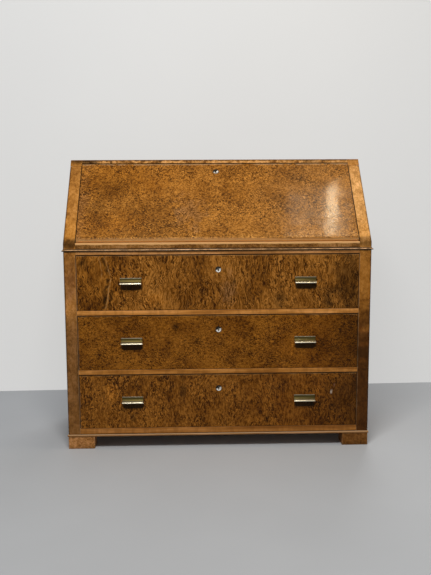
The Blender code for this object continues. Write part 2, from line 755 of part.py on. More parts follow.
def make_stays():
    """The slotted stay arms, their studs on the case and their brackets on the fall."""
    lead, path = stay_centre_line()
    arm_outline = band_outline(lead + path, STAY_HALF_WIDTH, STAY_CAP_STEPS)
    slot_outline = band_outline(path, STAY_PIN_RADIUS + STAY_SLOT_FIT, STAY_CAP_STEPS)
    depth, height = pivot_place()
    pin_depth, pin_height = stay_pivot(0)
    lean = Matrix.Rotation(STAY_START_ANGLE, 4, "X")
    half = STAY_THICKNESS / 2
    for name, side in (("stay_arm_left", -1), ("stay_arm_right", 1)):
        spot = Matrix.Translation((side * STAY_PLANE, FRONT + depth + pin_depth, height + pin_height))
        frame = spot @ lean @ ACROSS
        arm = prism(name, arm_outline, -half, half, BRASS, frame)
        cut(arm, prism(f"{name}_slot", slot_outline, -half - OVERRUN, half + OVERRUN, None, frame))
        hole = circle(STAY_PIN_RADIUS + STAY_SLOT_FIT, PIVOT_STEPS)
        cut(arm, prism(f"{name}_hole", hole, -half - OVERRUN, half + OVERRUN, None, frame))

        inner = -STAY_SIDE_GAP - STAY_THICKNESS - STAY_SLOT_FIT
        hand = name.replace("stay_arm_", "")
        stud = cylinder(
            f"stay_stud_{hand}", STAY_PIN_RADIUS, inner, STUD_ROOT, BRASS, stud_frame(side), PIVOT_STEPS,
        )
        head = cylinder(
            f"stay_stud_head_{hand}", STUD_HEAD_RADIUS, inner - STUD_HEAD_THICKNESS, inner + SEAT, None,
            stud_frame(side), PIVOT_STEPS,
        )
        join(stud, head)
        make_bracket(f"stay_bracket_{hand}", side)


def make_bracket(name, side):
    """Bracket on the fall's inner face: a screwed foot, an upright ear and the pin that the arm turns on."""
    frame = slope_frame(0, PIVOT_UP_SLOPE + STAY_ALONG, FALL_THICKNESS)
    ear_outer = STILE_INNER - STAY_SIDE_GAP - STAY_THICKNESS - STAY_SLOT_FIT
    ear_inner = ear_outer - BRACKET_THICKNESS
    pin_in = STAY_STANDOFF - FALL_THICKNESS / 2
    foot = block(
        name,
        (side * (ear_outer - BRACKET_WIDTH), SEAT, -BRACKET_LENGTH / 2),
        (side * ear_outer, SEAT + BRACKET_THICKNESS, BRACKET_LENGTH / 2),
        BRASS, frame,
    )
    root = ((side * ear_inner, SEAT, -EAR_RADIUS), (side * ear_outer, pin_in, EAR_RADIUS))
    join(foot, block(f"{name}_ear_root", *root, None, frame))
    turn = frame @ Matrix.Translation((0, pin_in, 0)) @ Matrix.Rotation(side * math.pi / 2, 4, "Y")
    join(foot, cylinder(f"{name}_ear", EAR_RADIUS, ear_inner, ear_outer, None, turn, PIVOT_STEPS))
    pin_end = STILE_INNER - STAY_SIDE_GAP
    join(foot, cylinder(f"{name}_pin", STAY_PIN_RADIUS, ear_inner + SEAT, pin_end, None, turn, PIVOT_STEPS))


def make_pivots():
    """Pivot plates let into the stiles, each with the pin that the fall turns on."""
    depth, height = pivot_place()
    for name, side in (("fall_pivot_left", -1), ("fall_pivot_right", 1)):
        plate = block(
            name,
            (0, -PIVOT_PLATE_WIDTH / 2, -PIVOT_PLATE_LENGTH / 2),
            (side * PIVOT_PLATE_THICKNESS, PIVOT_PLATE_WIDTH / 2, PIVOT_PLATE_LENGTH / 2),
            BRASS, slope_frame(side * STILE_INNER, PIVOT_UP_SLOPE, FALL_THICKNESS / 2),
        )
        pin = cylinder(
            f"{name}_pin", PIVOT_RADIUS, -PIVOT_REACH, SEAT, None,
            sideways_frame(side, STILE_INNER, depth, height), PIVOT_STEPS,
        )
        join(plate, pin)


def key_slot_outline(margin):
    """Upright keyhole slot with round ends, wider by a margin all round."""
    half = (KEY_SLOT_HEIGHT - KEY_SLOT_WIDTH) / 2
    line = [Vector((0, -half)), Vector((0, half))]
    return band_outline(line, KEY_SLOT_WIDTH / 2 + margin, KEY_CAP_STEPS)


def mortise(rail, key_frame, key_drop, board):
    """Cut the mortise that a thrown lock bolt enters, in the piece above the lock."""
    middle = board - LOCK_THICKNESS / 2
    half_width = BOLT_WIDTH / 2 + MORTISE_FIT
    half_thickness = BOLT_THICKNESS / 2 + MORTISE_FIT
    cutter = block(
        f"{rail.name}_mortise",
        (-half_width, middle - half_thickness, key_drop - OVERRUN),
        (half_width, middle + half_thickness, key_drop + BOLT_THROW + MORTISE_FIT),
        None, key_frame,
    )
    cut(rail, cutter)


def fit_lock(name, front, frame, key_drop, gap, board):
    """Lock, bolt and escutcheon for a front board whose keyhole is at the frame's origin.

    The frame's Y axis runs into the board and its Z axis towards the edge that the bolt leaves.
    """
    edge = key_drop - gap
    half = LOCK_WIDTH / 2
    recess = block(
        f"{name}_lock_recess",
        (-half - SEAT, board - LOCK_THICKNESS - SEAT, -LOCK_BELOW - SEAT),
        (half + SEAT, board + OVERRUN, edge + OVERRUN),
        None, frame,
    )
    cut(front, recess)
    case = block(
        f"{name}_lock",
        (-half, board - LOCK_THICKNESS, -LOCK_BELOW), (half, board, edge - SEAT), STEEL, frame,
    )
    middle = board - LOCK_THICKNESS / 2
    channel = block(
        f"{name}_bolt_channel",
        (-BOLT_WIDTH / 2 - BOLT_FIT, middle - BOLT_THICKNESS / 2 - BOLT_FIT, edge - BOLT_LENGTH - BOLT_FIT),
        (BOLT_WIDTH / 2 + BOLT_FIT, middle + BOLT_THICKNESS / 2 + BOLT_FIT, edge + OVERRUN),
        None, frame,
    )
    cut(case, channel)
    block(
        f"{name}_lock_bolt",
        (-BOLT_WIDTH / 2, middle - BOLT_THICKNESS / 2, edge - BOLT_LENGTH),
        (BOLT_WIDTH / 2, middle + BOLT_THICKNESS / 2, edge - SEAT),
        BRASS, frame,
    )

    outward = frame @ Matrix.Rotation(math.pi / 2, 4, "X")
    pocket = cylinder(
        f"{name}_escutcheon_pocket", ESCUTCHEON_RADIUS + SEAT, -ESCUTCHEON_THICKNESS - SEAT, OVERRUN, None,
        outward, ESCUTCHEON_STEPS,
    )
    cut(front, pocket)
    lock_face = LOCK_THICKNESS - board
    slot = prism(
        f"{name}_key_slot", key_slot_outline(SEAT), lock_face - KEY_DEPTH, OVERRUN, None, outward,
    )
    cut(front, slot)
    key_hole = prism(
        f"{name}_key_hole", key_slot_outline(0), lock_face - KEY_DEPTH, lock_face + OVERRUN, None, outward,
    )
    cut(case, key_hole)
    escutcheon = turned(f"{name}_escutcheon", escutcheon_profile(), NICKEL, outward, ESCUTCHEON_STEPS)
    shade_round(escutcheon)
    plate_slot = prism(
        f"{name}_plate_slot", key_slot_outline(0), -ESCUTCHEON_THICKNESS - OVERRUN, OVERRUN, None, outward,
    )
    cut(escutcheon, plate_slot)


def escutcheon_profile():
    """Profile of a dished plate, its rim level with the wood: dish, rim, edge and back."""
    dish_radius = ESCUTCHEON_RADIUS - ESCUTCHEON_RIM
    points = []
    for step in range(DISH_STEPS + 1):
        share = step / DISH_STEPS
        points.append((dish_radius * share, -ESCUTCHEON_DISH * (1 - share ** 2)))
    points.append((ESCUTCHEON_RADIUS, -ESCUTCHEON_ROUND))
    points.append((ESCUTCHEON_RADIUS, -ESCUTCHEON_THICKNESS))
    points.append((0, -ESCUTCHEON_THICKNESS))
    return points


def make_fall():
    """The fall: a slab with a round nose at its pivots, bored for them and fitted with its lock."""
    half = FALL_THICKNESS / 2
    angles = [math.pi * step / NOSE_STEPS for step in range(NOSE_STEPS + 1)]
    nose = [(PIVOT_UP_SLOPE - half * math.sin(angle), half - half * math.cos(angle)) for angle in angles]
    edge = FALL_TOP - FALL_GAP
    outline = placed([slope_point(*point) for point in nose + [(edge, FALL_THICKNESS), (edge, 0)]])
    width = STILE_INNER - FALL_GAP
    fall = prism("fall_panel", outline, -width, width, FALL_BURR)
    soften(fall, FINE_ARRIS)
    depth, height = pivot_place()
    for side in (-1, 1):
        bore = cylinder(
            f"fall_bore_{side}", PIVOT_RADIUS + PIVOT_FIT, -PIVOT_REACH - OVERRUN, OVERRUN, None,
            sideways_frame(side, STILE_INNER, depth, height), PIVOT_STEPS,
        )
        cut(fall, bore)
    key = slope_frame(0, FALL_TOP - FALL_KEY_DROP, 0)
    fit_lock("fall", fall, key, FALL_KEY_DROP, FALL_GAP, FALL_THICKNESS)


def handle_outline():
    """Section of a handle, outwards and up from its centre on the drawer's face.

    A flat flange lies on the drawer. From its top edge the face sweeps down and out in a hollow quarter
    ellipse to a round lip, and the underside follows in a tighter one, which leaves room for the fingers.
    """
    top, bottom = HANDLE_HEIGHT / 2, -HANDLE_HEIGHT / 2
    quarter = [math.pi / 2 * step / HANDLE_CURVE_STEPS for step in range(HANDLE_CURVE_STEPS + 1)]
    run, fall = HANDLE_REACH - HANDLE_LIP - HANDLE_SHEET, HANDLE_HEIGHT - 2 * HANDLE_LIP
    face = [(HANDLE_SHEET + run * (1 - math.cos(angle)), top - fall * math.sin(angle)) for angle in quarter]
    turns = [LIP_TURN * step / HANDLE_CURVE_STEPS for step in range(1, HANDLE_CURVE_STEPS)]
    lip_out, lip_up = HANDLE_REACH - HANDLE_LIP, bottom + HANDLE_LIP
    lip = [(lip_out + HANDLE_LIP * math.sin(turn), lip_up + HANDLE_LIP * math.cos(turn)) for turn in turns]
    under_run = HANDLE_REACH - 2 * HANDLE_LIP - HANDLE_SHEET
    under_fall = HANDLE_HEIGHT - HANDLE_WEB - HANDLE_LIP
    under = [
        (HANDLE_SHEET + under_run * (1 - math.cos(angle)), top - HANDLE_WEB - under_fall * math.sin(angle))
        for angle in reversed(quarter)
    ]
    foot = bottom + HANDLE_FLANGE_CLEAR
    return [(SEAT, top)] + face + lip + under + [(HANDLE_SHEET, foot), (SEAT, foot)]


def make_handles(name, level):
    """A drawer's pair of handles."""
    face = FRONT + DRAWER_RECESS
    outline = [(face - out, level + up) for out, up in handle_outline()]
    for hand, side in (("left", -1), ("right", 1)):
        low = side * HANDLE_SPREAD - HANDLE_LENGTH / 2
        prism(f"{name}_handle_{hand}", outline, low, low + HANDLE_LENGTH, BRASS)


def make_drawer(name, floor):
    """A long drawer: front, sides, back, bottom in grooves, handles and lock."""
    top = floor + DRAWER_OPENING
    low = floor + DRAWER_LIFT
    face = FRONT + DRAWER_RECESS
    inside = face + DRAWER_FRONT_THICKNESS
    width = STILE_INNER - DRAWER_GAP
    front = block(f"{name}_front", (-width, face, low), (width, inside, top - DRAWER_GAP), DRAWER_BURR)
    soften(front, FINE_ARRIS)

    outer = width - DRAWER_SIDE_INSET
    inner = outer - DRAWER_SIDE_THICKNESS
    rear = FRONT + BACK_PANEL_FACE - DRAWER_BACK_CLEAR
    side_top = top - DRAWER_SIDE_DROP
    tip = inside - TAIL_LENGTH
    box = block(f"{name}_box", (-outer, tip, low), (outer, rear, side_top), BIRCH)
    hollow = block(
        f"{name}_hollow",
        (-inner, tip - OVERRUN, low - OVERRUN),
        (inner, rear - DRAWER_SIDE_THICKNESS, side_top + OVERRUN), None,
    )
    cut(box, hollow)
    cut_dovetails(name, front, box, (low, side_top), inside, (inner, outer))
    back_top = block(
        f"{name}_back_top",
        (-inner, rear - DRAWER_SIDE_THICKNESS - OVERRUN, side_top - DRAWER_BACK_DROP),
        (inner, rear + OVERRUN, side_top + OVERRUN), None,
    )
    cut(box, back_top)

    board_low = floor + DRAWER_BOTTOM_HEIGHT
    board_high = board_low + DRAWER_BOTTOM_THICKNESS
    reach = DRAWER_GROOVE - SEAT
    block(
        f"{name}_bottom",
        (-inner - reach, inside - reach, board_low), (inner + reach, rear, board_high), BIRCH,
    )
    groove = block(
        f"{name}_groove",
        (-inner - DRAWER_GROOVE, inside - DRAWER_GROOVE, board_low - SEAT),
        (inner + DRAWER_GROOVE, rear + OVERRUN, board_high + SEAT),
        None,
    )
    cut(front, groove)
    cut(box, groove)
    under_back = block(
        f"{name}_under_back",
        (-inner, rear - DRAWER_SIDE_THICKNESS - OVERRUN, low - OVERRUN),
        (inner, rear + OVERRUN, board_low), None,
    )
    cut(box, under_back)
    make_handles(name, top - HANDLE_DROP)
    key = Matrix.Translation((0, face, top - DRAWER_KEY_DROP))
    fit_lock(name, front, key, DRAWER_KEY_DROP, DRAWER_GAP, DRAWER_FRONT_THICKNESS)


def cut_dovetails(name, front, box, levels, inside, faces):
    """Half-blind dovetails: tails on the ends of the drawer's sides, in sockets in the ends of its front.

    A tail widens from its root, level with the front's inner face, to its tip. What is left between the
    tails is cut away from both sides at once, and each socket is cut into the front with a margin.
    """
    (low, high), (inner, outer) = levels, faces
    pitch = (high - low) / TAIL_COUNT
    root, slant = pitch * TAIL_ROOT_SHARE / 2, TAIL_FLARE / TAIL_LENGTH
    middles = [low + pitch / 2 + pitch * number for number in range(TAIL_COUNT)]

    def edge(middle, side, back, margin):
        """Point on a tail's upper or lower flank, a distance behind the front's inner face."""
        return inside + back, middle + side * (root - slant * back + margin)

    near, far = SEAT, -TAIL_LENGTH - OVERRUN
    for number in range(TAIL_COUNT + 1):
        below, above = (middles[index] for index in (max(number - 1, 0), min(number, TAIL_COUNT - 1)))
        space = [
            edge(below, 1, far, 0), edge(below, 1, near, 0),
            edge(above, -1, near, 0), edge(above, -1, far, 0),
        ]
        if number == 0:
            space[:2] = [(inside + far, low - OVERRUN), (inside + near, low - OVERRUN)]
        if number == TAIL_COUNT:
            space[2:] = [(inside + near, high + OVERRUN), (inside + far, high + OVERRUN)]
        cut(box, prism(f"{name}_pin_space_{number}", space, -outer - OVERRUN, outer + OVERRUN, None))

    near, far = OVERRUN, -TAIL_LENGTH - SEAT
    for number, middle in enumerate(middles):
        socket = [
            edge(middle, -1, near, SEAT), edge(middle, -1, far, SEAT),
            edge(middle, 1, far, SEAT), edge(middle, 1, near, SEAT),
        ]
        for side in (-1, 1):
            start, end = sorted((side * (inner - SEAT), side * (outer + OVERRUN)))
            cut(front, prism(f"{name}_socket_{number}_{side}", socket, start, end, None))


def make_rack():
    """Rack of pigeonholes, hollowed cell by cell, with a small drawer at the foot of each outer bay."""
    half = STILE_INNER - RACK_SIDE_CLEAR
    rear = FRONT + BACK_PANEL_FACE - SEAT
    low, high = BED_LEVEL + SEAT, TOP_UNDERSIDE - STOP_HEIGHT - RACK_TOP_CLEAR
    face = FRONT + slope_depth(high, FALL_THICKNESS) + RACK_FRONT_CLEAR
    rack = block("pigeonhole_rack", (-half, face, low), (half, rear, high), BIRCH)
    shelf = BED_LEVEL + SMALL_OPENING
    outer_edge, inner_edge = half - RACK_WALL, half - RACK_WALL - BAY_WIDTH
    roof = high - RACK_WALL
    cells = [("centre_cell", RACK_WALL - inner_edge, inner_edge - RACK_WALL, low - OVERRUN, roof)]
    for side in (-1, 1):
        middle = (outer_edge + inner_edge) / 2
        spans = [(inner_edge, outer_edge, low - OVERRUN, shelf)]
        spans.append((inner_edge, middle - RACK_WALL / 2, shelf + RACK_WALL, roof))
        spans.append((middle + RACK_WALL / 2, outer_edge, shelf + RACK_WALL, roof))
        for number, (start, end, floor, ceiling) in enumerate(spans):
            left, right = sorted((side * start, side * end))
            cells.append((f"cell_{side}_{number}", left, right, floor, ceiling))
    for name, left, right, floor, ceiling in cells:
        cut(rack, block(name, (left, face - OVERRUN, floor), (right, rear + OVERRUN, ceiling), None))

    for name, side in (("small_drawer_left", -1), ("small_drawer_right", 1)):
        left, right = sorted((side * inner_edge, side * outer_edge))
        corner = (left + SMALL_GAP, face, BED_LEVEL + SEAT)
        make_small_drawer(name, corner, (right - SMALL_GAP, rear - SMALL_BACK_CLEAR, shelf - SMALL_GAP))


def make_small_drawer(name, near, far):
    """A small drawer between two opposite corners, hollow and open above, with its knob."""
    (left, face, low), (right, rear, high) = near, far
    drawer = block(name, near, far, BIRCH)
    hollow = block(
        f"{name}_hollow",
        (left + SMALL_WALL, face + SMALL_FRONT_THICKNESS, low + SMALL_FLOOR),
        (right - SMALL_WALL, rear - SMALL_WALL, high + OVERRUN),
        None,
    )
    cut(drawer, hollow)
    middle = Matrix.Translation(((left + right) / 2, face, (low + high) / 2))
    frame = middle @ Matrix.Rotation(math.pi / 2, 4, "X")
    join(drawer, turned(f"{name}_knob", knob_profile(), None, frame, KNOB_STEPS))


def knob_profile():
    """Profile of a turned knob: round head, neck, flared foot and the root inside the drawer's front."""
    head = KNOB_REACH - KNOB_RADIUS
    points = []
    for step in range(KNOB_HEAD_STEPS):
        angle = math.pi / 2 - math.pi * step / KNOB_HEAD_STEPS
        points.append((KNOB_RADIUS * math.cos(angle), head + KNOB_RADIUS * math.sin(angle)))
    points.append((KNOB_NECK, KNOB_FOOT_HEIGHT + SEAT))
    points.append((KNOB_FOOT_RADIUS, KNOB_FOOT_HEIGHT))
    points.append((KNOB_FOOT_RADIUS, -SMALL_WALL))
    points.append((0, -SMALL_WALL))
    return points


def guide(name, frame, members):
    """An empty on a joint's axis that carries the pieces which move together."""
    empty = bpy.data.objects.new(name, None)
    PARTS.objects.link(empty)
    empty.matrix_world = frame
    for member in members:
        piece = bpy.data.objects[member]
        piece.parent = empty
        piece.matrix_parent_inverse = frame.inverted()
    return empty


def carry_moving_pieces():
    """Parent the pieces of each moving body to an empty on its joint."""
    depth, height = pivot_place()
    fall = guide(
        "fall_hinge_axis", Matrix.Translation((0, FRONT + depth, height)),
        ["fall_panel", "fall_escutcheon", "fall_lock", "stay_bracket_left", "stay_bracket_right"],
    )
    moving = [guide("fall_bolt_slide", slope_frame(0, FALL_TOP - FALL_KEY_DROP, 0), ["fall_lock_bolt"])]
    pin_depth, pin_height = stay_pivot(0)
    for name, side in (("stay_arm_left", -1), ("stay_arm_right", 1)):
        spot = Matrix.Translation((side * STAY_PLANE, FRONT + depth + pin_depth, height + pin_height))
        moving.append(guide(f"{name}_axis", spot, [name]))
    for empty in moving:
        empty.parent = fall
        empty.matrix_parent_inverse = fall.matrix_world.inverted()
    for name, floor in zip(("lower_drawer", "middle_drawer", "upper_drawer"), OPENING_FLOORS):
        spot = Matrix.Translation((0, FRONT, floor))
        pieces = ("front", "box", "bottom", "handle_left", "handle_right", "escutcheon", "lock")
        drawer = guide(f"{name}_slide", spot, [f"{name}_{piece}" for piece in pieces])
        bolt = guide(f"{name}_bolt_slide", spot, [f"{name}_lock_bolt"])
        bolt.parent = drawer
        bolt.matrix_parent_inverse = spot.inverted()
    for name in ("small_drawer_left", "small_drawer_right"):
        spot = bpy.data.objects[name].matrix_world.copy()
        guide(f"{name}_slide", spot, [name])


def main():
    """Build the chest from the floor up."""
    make_feet()
    make_mouldings()
    make_sides()
    make_stiles()
    make_rails()
    make_boards()
    make_top()
    make_cheeks()
    make_pivots()
    make_fall()
    make_stays()
    for name, floor in zip(("lower_drawer", "middle_drawer", "upper_drawer"), OPENING_FLOORS):
        make_drawer(name, floor)
    make_rack()
    bpy.context.view_layer.update()
    carry_moving_pieces()


main()
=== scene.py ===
"""Looks of a slant-front secretaire chest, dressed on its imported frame.

Places are in metres in the chest's own frame: +Z up, the front faces -Y, and the floor is at zero. A panel's
own coordinates put its middle at the origin, with X across it, Y into it and Z up it, also on the slope.
Colours are linear.
"""

from __future__ import annotations
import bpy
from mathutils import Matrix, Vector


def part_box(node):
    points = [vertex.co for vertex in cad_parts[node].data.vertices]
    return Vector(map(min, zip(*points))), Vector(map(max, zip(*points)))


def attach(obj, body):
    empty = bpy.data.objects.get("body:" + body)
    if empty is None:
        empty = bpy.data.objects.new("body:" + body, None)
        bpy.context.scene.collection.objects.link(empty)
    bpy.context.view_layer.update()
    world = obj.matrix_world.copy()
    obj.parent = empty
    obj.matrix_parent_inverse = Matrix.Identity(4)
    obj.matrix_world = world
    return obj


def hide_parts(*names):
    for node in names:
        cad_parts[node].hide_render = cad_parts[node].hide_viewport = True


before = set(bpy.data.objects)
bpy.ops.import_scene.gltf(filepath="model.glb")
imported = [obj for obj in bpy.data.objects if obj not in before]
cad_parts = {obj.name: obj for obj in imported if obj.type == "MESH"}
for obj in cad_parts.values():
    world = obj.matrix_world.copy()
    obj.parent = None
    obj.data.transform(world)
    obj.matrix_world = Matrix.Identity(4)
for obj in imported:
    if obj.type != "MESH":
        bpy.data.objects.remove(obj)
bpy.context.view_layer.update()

import logging
import math
from dataclasses import dataclass
from enum import Enum
from functools import cache
from typing import ClassVar, Protocol

import bpy
import numpy as np
from mathutils import Matrix, Vector

LOG = logging.getLogger("secretaire")

Triple = tuple[float, float, float]
Colour = Triple
Material = bpy.types.Material
Piece = bpy.types.Object
Socket = bpy.types.NodeSocket
Tree = bpy.types.NodeTree
Value = Socket | float | tuple
Fills = dict[int | str, Value]
Grid = np.ndarray

MM = 0.001

FRONT = -0.22175  # front face of the case
BACK = 0.23825  # back of the case
HALF_WIDTH = 0.55
STILE_INNER = 0.507
DESK_LEVEL = 0.755
WAIST_LEVEL = 0.726
DRAWER_FACE = -0.22025
CLEARANCE = 0.0003  # between a fitted piece and what holds it
ORIGIN = (0.0, 0.0, 0.0)
ACROSS, OUTWARD, UPWARD = Vector((1.0, 0.0, 0.0)), Vector((0.0, -1.0, 0.0)), Vector((0.0, 0.0, 1.0))
SLOPE_UP = Vector((0.0, 0.681687, 0.731643))
SLOPE_OUT = Vector((0.0, -0.731643, 0.681687))
SLOPE_TURN = Matrix.Rotation(math.atan2(SLOPE_UP.y, SLOPE_UP.z), 3, "X")
HANDS = (("left", -1), ("right", 1))

SEED_STEP = (7.3, 3.1, 11.7)  # how far one seed lies from the next
BOARD_STEP = (0.37, 1.91, 3.3)  # how far one joined board's figure lies from the next
VENEER_EDGE = 0.2 * MM  # half the width over which a veneer's edge fades


# Shader toolkit


class Board:
    """A node tree that is wired up step by step."""

    def __init__(self, tree: Tree) -> None:
        """Take over a tree."""
        self.tree = tree

    def put(self, kind: str, fills: Fills, output: int | str = 0, **settings: object) -> Socket:
        """Add a node and fill its inputs.

        Args:
            kind: Node type, without the words ShaderNode.
            fills: What its inputs get, by number or name.
            output: Which output is given.
            **settings: Properties to set on it.

        Returns:
            The output.
        """
        made = self.tree.nodes.new(f"ShaderNode{kind}")
        for name, value in settings.items():
            setattr(made, name, value)
        for key, value in fills.items():
            self.feed(made.inputs[key], value)
        return made.outputs[output]

    def feed(self, socket: Socket, value: Value) -> None:
        """Link an output to a socket, or set the socket to a plain value.

        Args:
            socket: Input to fill.
            value: Output to link, or the value to set.
        """
        if isinstance(value, bpy.types.NodeSocket):
            self.tree.links.new(value, socket)
        else:
            socket.default_value = value

    def use(self, group: Tree, **values: Value) -> bpy.types.NodeOutputs:
        """Place a shared group, its inputs named with _ for a space, and give its outputs."""
        fills = {name.replace("_", " "): value for name, value in values.items()}
        return self.put("Group", fills, node_tree=group).node.outputs

    def math(self, operation: str, *values: Value) -> Socket:
        """One sum on numbers."""
        return self.put("Math", dict(enumerate(values)), operation=operation)

    def times(self, first: Value, second: Value) -> Socket:
        """A number times another."""
        return self.math("MULTIPLY", first, second)

    def minus(self, first: Value, second: Value) -> Socket:
        """A number less another."""
        return self.math("SUBTRACT", first, second)

    def apart(self, first: Value, second: Value) -> Socket:
        """How far apart two numbers are."""
        return self.math("ABSOLUTE", self.minus(first, second))

    def greater(self, first: Value, second: Value) -> Socket:
        """The greater of two numbers."""
        return self.math("MAXIMUM", first, second)

    def vector(self, operation: str, first: Value, second: Value = ORIGIN) -> Socket:
        """One sum on vectors, which gives a number for LENGTH and DOT_PRODUCT and a vector otherwise."""
        output = "Value" if operation in ("LENGTH", "DOT_PRODUCT") else "Vector"
        return self.put("VectorMath", {0: first, 1: second}, output, operation=operation)

    def scaled(self, place: Value, size: Value) -> Socket:
        """A vector times a number."""
        return self.put("VectorMath", {0: place, "Scale": size}, operation="SCALE")

    def parts(self, place: Value) -> list[Socket]:
        """The X, Y and Z of a vector."""
        return list(self.put("SeparateXYZ", {0: place}).node.outputs)

    def joined(self, *values: Value) -> Socket:
        """A vector of three numbers."""
        return self.put("CombineXYZ", dict(enumerate(values)))

    def mapped(self, place: Value, turn: Triple, shift: Triple = ORIGIN) -> Socket:
        """Turn a place about the origin and then shift it."""
        return self.put("Mapping", {"Vector": place, "Rotation": turn, "Location": shift}, vector_type="POINT")

    def spread(self, value: Value, low: Value, high: Value, start: Value = 0.0, end: Value = 1.0) -> Socket:
        """Map a range smoothly onto another and stop at its ends."""
        fills = dict(enumerate((value, low, high, start, end)))
        return self.put("MapRange", fills, interpolation_type="SMOOTHSTEP")

    def fade(self, value: Value, low: Value, high: Value) -> Socket:
        """One below a range, falling smoothly to nothing above it."""
        return self.spread(value, low, high, 1.0, 0.0)

    def mix(self, share: Value, first: Value, second: Value, blend: str = "MIX") -> Socket:
        """Mix two colours, with a share of the second one."""
        first, second = ((*colour, 1.0) if isinstance(colour, tuple) else colour for colour in (first, second))
        return self.put("Mix", {0: share, 6: first, 7: second}, 2, data_type="RGBA", blend_type=blend)

    def mix_numbers(self, share: Value, first: Value, second: Value) -> Socket:
        """Mix two numbers, with a share of the second one."""
        return self.put("Mix", {0: share, 2: first, 3: second}, data_type="FLOAT")

    def mix_places(self, share: Value, first: Value, second: Value) -> Socket:
        """Mix two vectors, with a share of the second one."""
        return self.put("Mix", {0: share, 4: first, 5: second}, 1, data_type="VECTOR")

    def veil(self, colour: Value, mask: Value, strength: float, over: Value) -> Socket:
        """Lay a colour over another where a mask is, with a strength."""
        return self.mix(self.times(mask, strength), colour, over)

    def shaded(self, colour: Socket, mask: Value, strength: float) -> Socket:
        """Lighten a colour under a mask, or darken it with a strength below zero."""
        factors = (1.0 + strength,) * 3
        return self.mix(mask, colour, self.mix(1.0, colour, factors, "MULTIPLY"))

    def noise(
        self, place: Value, scale: Value, detail: float = 2.0, rough: float = 0.5, twist: float = 0.0,
        output: str = "Fac",
    ) -> Socket:
        """A noise texture.

        Args:
            place: Where it is read.
            scale: Features per metre.
            detail: Number of finer layers.
            rough: Weight of the finer layers.
            twist: How much it distorts itself.
            output: Fac for a number around a half, or Color for three.

        Returns:
            The output.
        """
        fills = {"Vector": place, "Scale": scale, "Detail": detail, "Roughness": rough, "Distortion": twist}
        return self.put("TexNoise", fills, output)

    def ramp(self, share: Value, *stops: tuple[float, Colour]) -> Socket:
        """Colours along a scale.

        Args:
            share: Place on the scale.
            *stops: Places and their colours, in order.

        Returns:
            The colour at that place.
        """
        shown = self.put("ValToRGB", {0: share})
        elements = shown.node.color_ramp.elements
        while len(elements) < len(stops):
            elements.new(0.5)
        for element, (place, colour) in zip(elements, stops):
            element.position = place
            element.color = (*colour, 1.0)
        return shown


class Recipe(Board):
    """A shared effect: a group with named inputs and outputs, built once and placed in many finishes."""

    def __init__(self, name: str, gives: tuple[str, ...], **takes: float | Triple) -> None:
        """Make an empty group, whose first input is the place that it reads.

        Args:
            name: Name of the effect.
            gives: Names of its outputs.
            **takes: Its other inputs and their first values, with _ for a space in a name.
        """
        super().__init__(bpy.data.node_groups.new(name, "ShaderNodeTree"))
        sockets = self.tree.interface
        for label, value in {"Vector": ORIGIN, **takes}.items():
            kind = "NodeSocketVector" if isinstance(value, tuple) else "NodeSocketFloat"
            socket = sockets.new_socket(label.replace("_", " "), in_out="INPUT", socket_type=kind)
            socket.default_value = value
        for label in gives:
            sockets.new_socket(label, in_out="OUTPUT", socket_type="NodeSocketFloat")
        self.inlets = self.tree.nodes.new("NodeGroupInput").outputs
        self.outlets = self.tree.nodes.new("NodeGroupOutput").inputs
        self.place = self.inlets["Vector"]

    def seeded(self) -> Socket:
        """The group's place, moved far away by its seed."""
        return self.vector("ADD", self.place, self.scaled(SEED_STEP, self.inlets["Seed"]))

    def wavered(self, place: Socket, scale: float, reach: Value) -> Socket:
        """Shift a place, as far as its reach, by a noise with so many features per metre."""
        offset = self.vector("SUBTRACT", self.noise(place, scale, output="Color"), (0.5, 0.5, 0.5))
        return self.vector("ADD", place, self.scaled(offset, reach))

    def give(self, *results: Value) -> Tree:
        """Wire the group's outputs, in their order.

        Args:
            *results: What each output gives.

        Returns:
            The finished group.
        """
        for socket, value in zip(self.outlets, results):
            self.feed(socket, value)
        return self.tree


@cache
def burr_recipe() -> Tree:
    """Figure of a burr veneer.

    Two layers of noise shift the place that is read. A noise that is drawn out up the panel is near its own
    middle only along thin curly lines, and these are the strokes. The light glints are such lines of a second
    noise. Slow noise gives the clouding and quick noise the mottle.

    Returns:
        The group.
    """
    made = Recipe(
        "burr figure", ("Clouding", "Mottle", "Strokes", "Glints", "Pores"), Seed=0.0, Stretch=1.0, Bend=0.02,
        Stroke_Scale=70.0, Cloud_Scale=7.0,
    )
    bend, scale = made.inlets["Bend"], made.inlets["Stroke Scale"]
    bent = made.wavered(made.wavered(made.seeded(), 6.5, made.times(bend, 3.0)), 34.0, bend)
    shorter = made.math("DIVIDE", 1.0, made.inlets["Stretch"])
    drawn = made.vector("MULTIPLY", bent, made.joined(1.0, 1.0, shorter))
    dark, light, gate = made.parts(made.noise(drawn, scale, 1.0, 0.5, 1.2, "Color"))
    dark_line, light_line = (made.fade(made.apart(line, 0.5), 0.0, 0.085) for line in (dark, light))
    calm = made.spread(made.noise(bent, 10.0), 0.38, 0.60, 0.30, 1.0)
    strokes = made.times(dark_line, made.times(calm, made.spread(gate, 0.40, 0.52)))
    glints = made.greater(made.minus(made.times(light_line, calm), strokes), 0.0)
    mottle = made.noise(drawn, made.times(scale, 1.3), 2.0, 0.6, 0.4)
    clouding = made.noise(made.mix_places(0.5, bent, drawn), made.inlets["Cloud Scale"], 3.0, 0.6, 0.6)
    pores = made.spread(made.noise(drawn, 850.0), 0.60, 0.72)
    return made.give(clouding, mottle, strokes, glints, pores)


